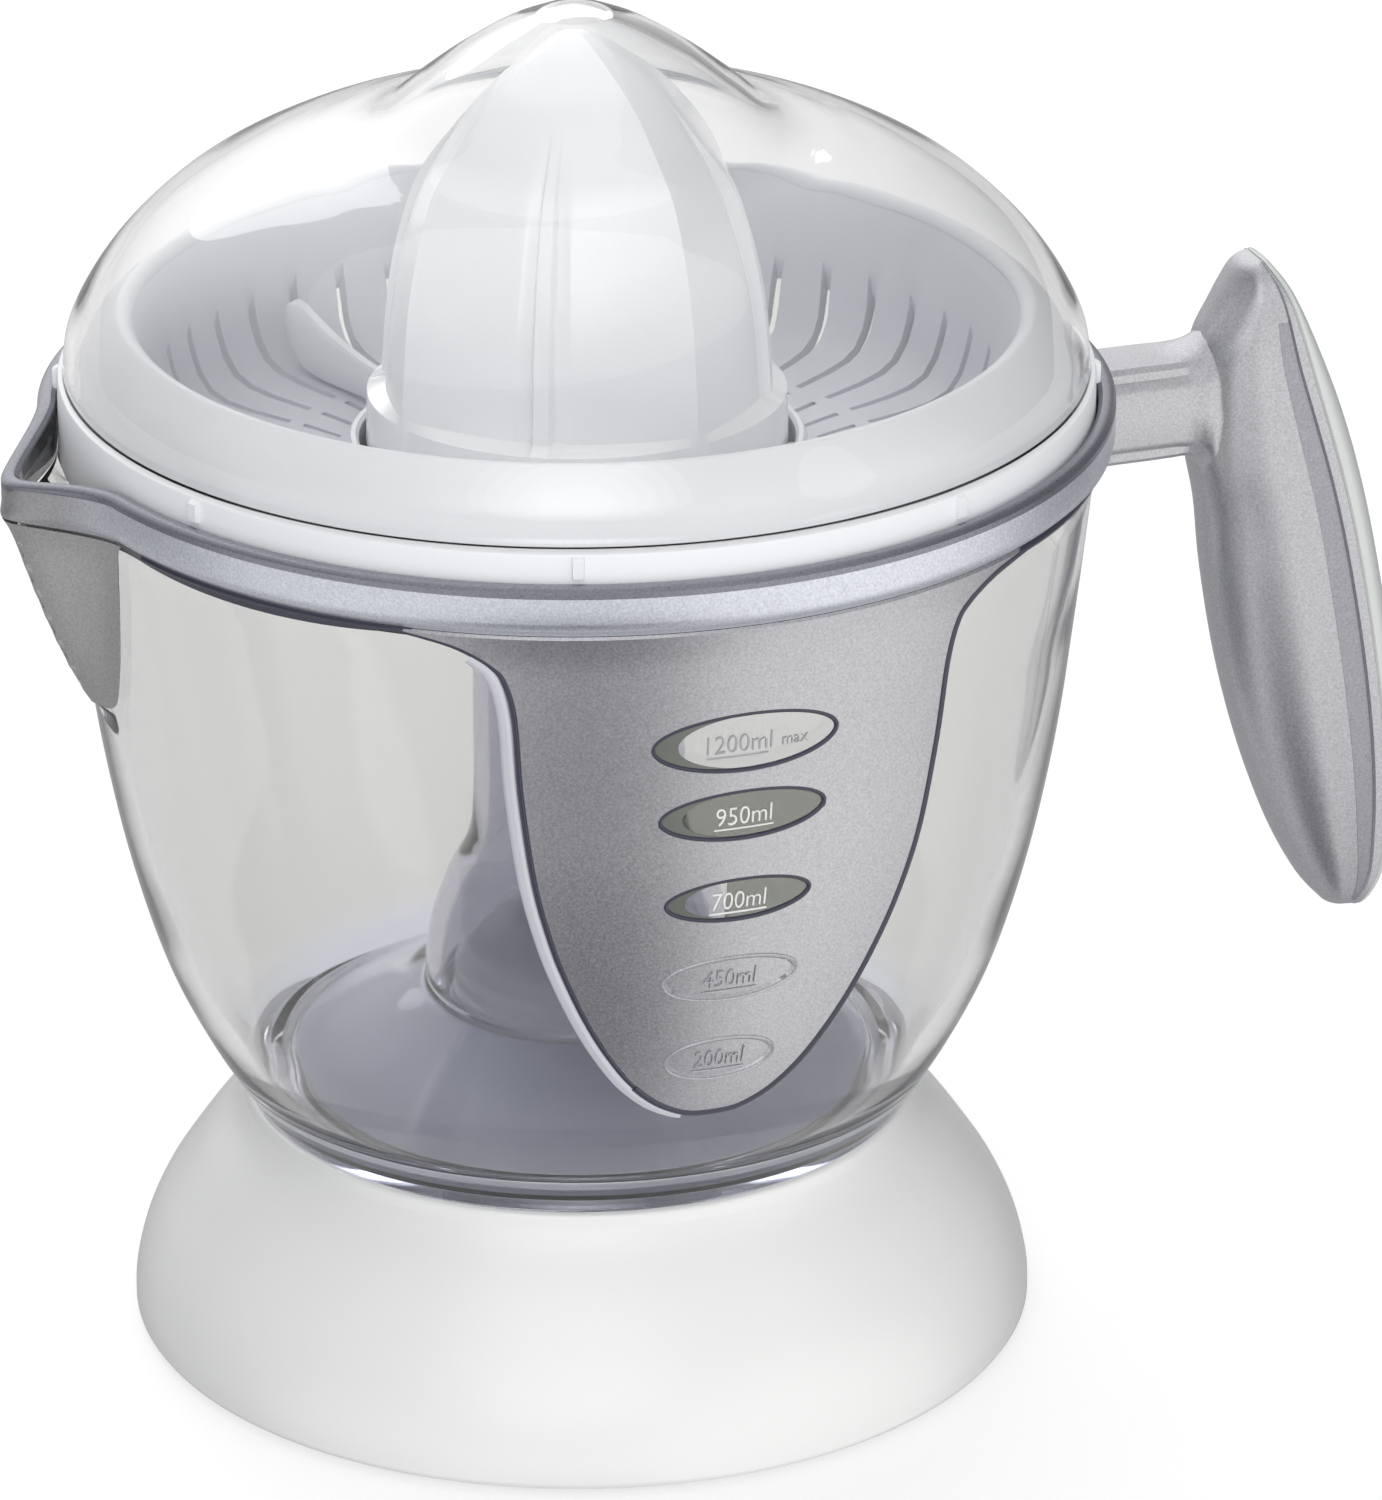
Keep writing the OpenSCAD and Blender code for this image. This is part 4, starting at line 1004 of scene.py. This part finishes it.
for k in range(2):
    rings = []
    for (r0, z0), (r1, z1) in zip(wing_low, wing_high):
        ring = []
        for t, half in ((0, 0.9), (0.15, 1.25), (0.5, 1.3), (0.85, 1.15), (1, 0.7)):
            ring.append((r0 + (r1 - r0) * t, half, z0 + (z1 - z0) * t))
        ring += [(r, -y, z) for r, y, z in reversed(ring)]
        rings.append([swung(r, y, z, 180 * k + 120) for r, y, z in ring])
    loft(f"scraper_wing_{k + 1}", rings, cool_white, "scraper", 45.0)


# ---- Cones ----

CONE_TURN = FRONT - 29.0  # direction of one narrow rib


def cone_share(angle, z, depth, foot, fade):
    """Share of the radius by which a face lies behind its sharp crests. A narrow rib runs
    up the middle of each face between two grooves, and fades out near the top."""
    t = (angle - CONE_TURN) % 90
    t = min(t, 90 - t)  # 0 on a narrow rib, 45 on a crest
    face = depth * (1 + 0.9 * smoothstep(foot + 8, fade, z)) * (1 - (t / 45) ** 3)
    rib = 1 - smoothstep(2.2, 3.4, t)
    groove = smoothstep(2.6, 3.8, t) * (1 - smoothstep(3.8, 8.5, t))
    stays = 1 - smoothstep(fade - 14, fade + 4, z)
    return face * (1 - 0.35 * rib * stays) + depth * 0.32 * groove * stays


large_edge = curve([(33.2, 149), (33, 156), (32.2, 168), (31.2, 178), (29.3, 186.6), (26.6, 194),
                    (22, 200.6), (15.6, 207.4), (8, 212.6), (3.6, 214.9), (1.2, 215.7)], 8)
small_edge = curve([(23, 155.4), (22.2, 164), (20, 174), (15.6, 183.6), (10, 190.6),
                    (4.4, 194.4), (1.2, 195.7)], 6)


def cone(name, edge, inward, foot, fade, depth, top, body):
    """A hollow cone with a wall of inward mm. Its four faces begin at the height foot."""
    least = 0.4  # radius of the innermost point
    start, start_inside = 1.3, 4  # heights over which the faces set in
    low = edge[0][1]
    tip = edge[-1][1]
    inner = [(max(r - inward, least), low + (z - low) * (1 - inward / (tip - low)))
             for r, z in edge if r > inward + least]
    outer = [(edge[0][0] - 0.5, low), (edge[0][0], low + 0.5)]
    outer += [(lookup([(z, r) for r, z in edge], z), z) for z in (foot, foot + start)]
    outer += [(r, z) for r, z in edge if z > foot + start + 0.5]
    count = len(outer)
    profile = [(0, top)] + outer[::-1] + [(edge[0][0] - inward, low)] + inner[1:] + [
        (0, tip - inward)]

    def shape(i, r, z, angle):
        rise = (z - foot) / start if i < count else (z - foot + start_inside) / start_inside
        share = cone_share(angle, z, depth, foot, fade)
        return r * (1 - share * min(max(rise, 0.0), 1.0)), z

    half = [0, 0.8, 1.6, 2.2, 2.8, 3.3, 3.8, 4.6, 5.6, 6.9, 8.5] + list(range(11, 44, 2)) + [44.3]
    turns = [-t for t in half[:0:-1]] + half + [45]
    angles = [CONE_TURN + 90 * q + t for q in range(4) for t in turns]
    return turned(name, profile, cone_white, body, angles, shape, 17.0)


big = cone("cone_large", large_edge, 2.4, 158.2, 203.0, 0.09, 215.8, "reamer")
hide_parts("large_cone")
small = cone("cone_small", small_edge, 2.2, 158.4, 186.0, 0.09, 196.0, "reamer")
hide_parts("small_cone")


# ---- Lid ----

lid_outside = [(80.3, 162.6), (80.5, 162.8)] + curve(
    [(80.3, 164), (79.4, 169), (75.6, 176), (70.2, 182.6), (62.6, 189.2), (53, 194.6),
     (43.4, 198.2), (35.4, 200.6), (31, 203), (25.4, 207.6), (19.4, 212.2), (12, 217),
     (5.4, 220)], 6)
lid_inside = [(78.9, 162.6), (78.7, 162.8)] + curve(
    [(78.5, 164), (77.6, 168.4), (73.9, 175.3), (68.7, 181.6), (61.4, 187.8), (52.2, 193),
     (42.9, 196.5), (34.6, 199), (29.8, 201.6), (24.2, 206.2), (18.3, 210.8), (11.2, 215.3),
     (5, 218.2)], 6)
lid_profile = [(0, 219.2)] + lid_inside[::-1] + lid_outside + [(0, 221)]
lid = turned("lid_dome", lid_profile, lid_clear, "lid")
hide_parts("lid")


# ---- Stage, light and camera ----

floor_mesh = bpy.data.meshes.new("stage_floor")
SIDE = 6.0
floor_mesh.from_pydata([(-SIDE, -SIDE, 0), (SIDE, -SIDE, 0), (SIDE, SIDE, 0), (-SIDE, SIDE, 0)],
                       [], [(0, 1, 2, 3)])
floor_material, floor_tree, floor_shader, _ = nodes_of("stage_pale")
put(floor_shader, Roughness=0.9, Specular_IOR_Level=0.1, Emission_Color=(1, 1, 1, 1),
    Emission_Strength=0.63)
floor_tree.links.new(mixed(floor_tree, noise(floor_tree, 3.0), (0.39, 0.39, 0.385),
                           (0.41, 0.41, 0.41)), floor_shader.inputs["Base Color"])
floor_mesh.materials.append(floor_material)
floor = bpy.data.objects.new("stage_floor", floor_mesh)
bpy.context.scene.collection.objects.link(floor)
# The floor catches light and shadow, and the room below stands in for it in reflections
floor.visible_diffuse = False
floor.visible_glossy = False

scene = bpy.context.scene
world = bpy.data.worlds.new("studio")
world.use_nodes = True
sky = world.node_tree
backing = sky.nodes["Background"]
ray = add(sky, "ShaderNodeTexCoord")


def blob(direction, low, high, first, second):
    """A colour that turns from first to second towards a direction of the room."""
    toward = add(sky, "ShaderNodeVectorMath", operation="DOT_PRODUCT")
    toward.inputs[1].default_value = Vector(direction).normalized()
    sky.links.new(ray.outputs["Generated"], toward.inputs[0])
    fade = add(sky, "ShaderNodeMapRange", interpolation_type="SMOOTHSTEP", From_Min=low,
               From_Max=high)
    sky.links.new(toward.outputs["Value"], fade.inputs["Value"])
    return mixed(sky, fade.outputs["Result"], first, second)


room = blob((0, 0, 1), -0.2, 0.95, (0.62, 0.62, 0.64), (0.85, 0.85, 0.85))
room = blob((0.1, 0.75, 0.65), 0.6, 0.98, room, (1.7, 1.7, 1.7))
room = blob((-0.4, -0.75, 0.55), 0.78, 1.0, room, (1.5, 1.5, 1.5))
room = blob((-1, 0.15, 0.25), 0.5, 0.95, room, (0.25, 0.25, 0.26))
room = blob((1, 0.25, 0.3), 0.5, 0.95, room, (0.25, 0.25, 0.26))
room = blob((0.55, -0.75, -0.36), 0.55, 0.92, room, (1.38, 1.38, 1.36))
room = blob((-0.86, -0.3, -0.42), 0.74, 0.98, room, (1.1, 1.1, 1.12))
room = blob((-0.45, -0.75, -0.38), 0.86, 0.99, room, (1.2, 1.2, 1.22))
room = blob((-0.2, -0.62, -0.76), 0.86, 0.99, room, (0.06, 0.06, 0.08))
sky.links.new(room, backing.inputs["Color"])
put(backing, Strength=0.75)
scene.world = world


def softbox(name, place, target, width, depth, watts):
    lamp = bpy.data.lights.new(name, "AREA")
    lamp.shape = "ELLIPSE"
    lamp.size, lamp.size_y = width, depth
    lamp.energy = watts
    item = bpy.data.objects.new(name, lamp)
    item.location = place
    item.rotation_euler = (Vector(target) - Vector(place)).to_track_quat("-Z", "Y").to_euler()
    item.visible_glossy = False
    scene.collection.objects.link(item)


FRONT_WATTS = 1.85  # for each square metre of each front lamp
softbox("light_top", (-0.1, 0.3, 1.6), (0, 0, 0.1), 1.6, 1.6, 5.0)
for k in range(5):  # one behind another, each wider, for a lamp with a soft edge
    width = 0.6 + 0.3 * k
    softbox(f"light_front_{k + 1}", (-0.6, -1.8 - 0.01 * k, 1.0), (0, 0, 0.12), width, width,
            FRONT_WATTS * width ** 2)
softbox("light_back", (0.25, 1.5, 0.9), (0, 0, 0.08), 1.4, 0.9, 8)
softbox("light_right", (1.0, -1.2, 0.5), (0, 0, 0.12), 0.5, 1.0, 1.2)

camera_data = bpy.data.cameras.new("camera")
camera = bpy.data.objects.new("camera", camera_data)
camera.location = (-0.3881, -1.1598, 0.6217)
AIM = Vector((0.0178, -0.0032, 0.0947))
camera.rotation_euler = (AIM - camera.location).to_track_quat("-Z", "Y").to_euler()
camera_data.sensor_fit = "HORIZONTAL"
camera_data.sensor_width = 36.0
camera_data.lens = 217.1
camera_data.clip_start = 0.05
scene.collection.objects.link(camera)
scene.camera = camera
scene.view_settings.view_transform = "Standard"
scene.cycles.transparent_max_bounces = 24
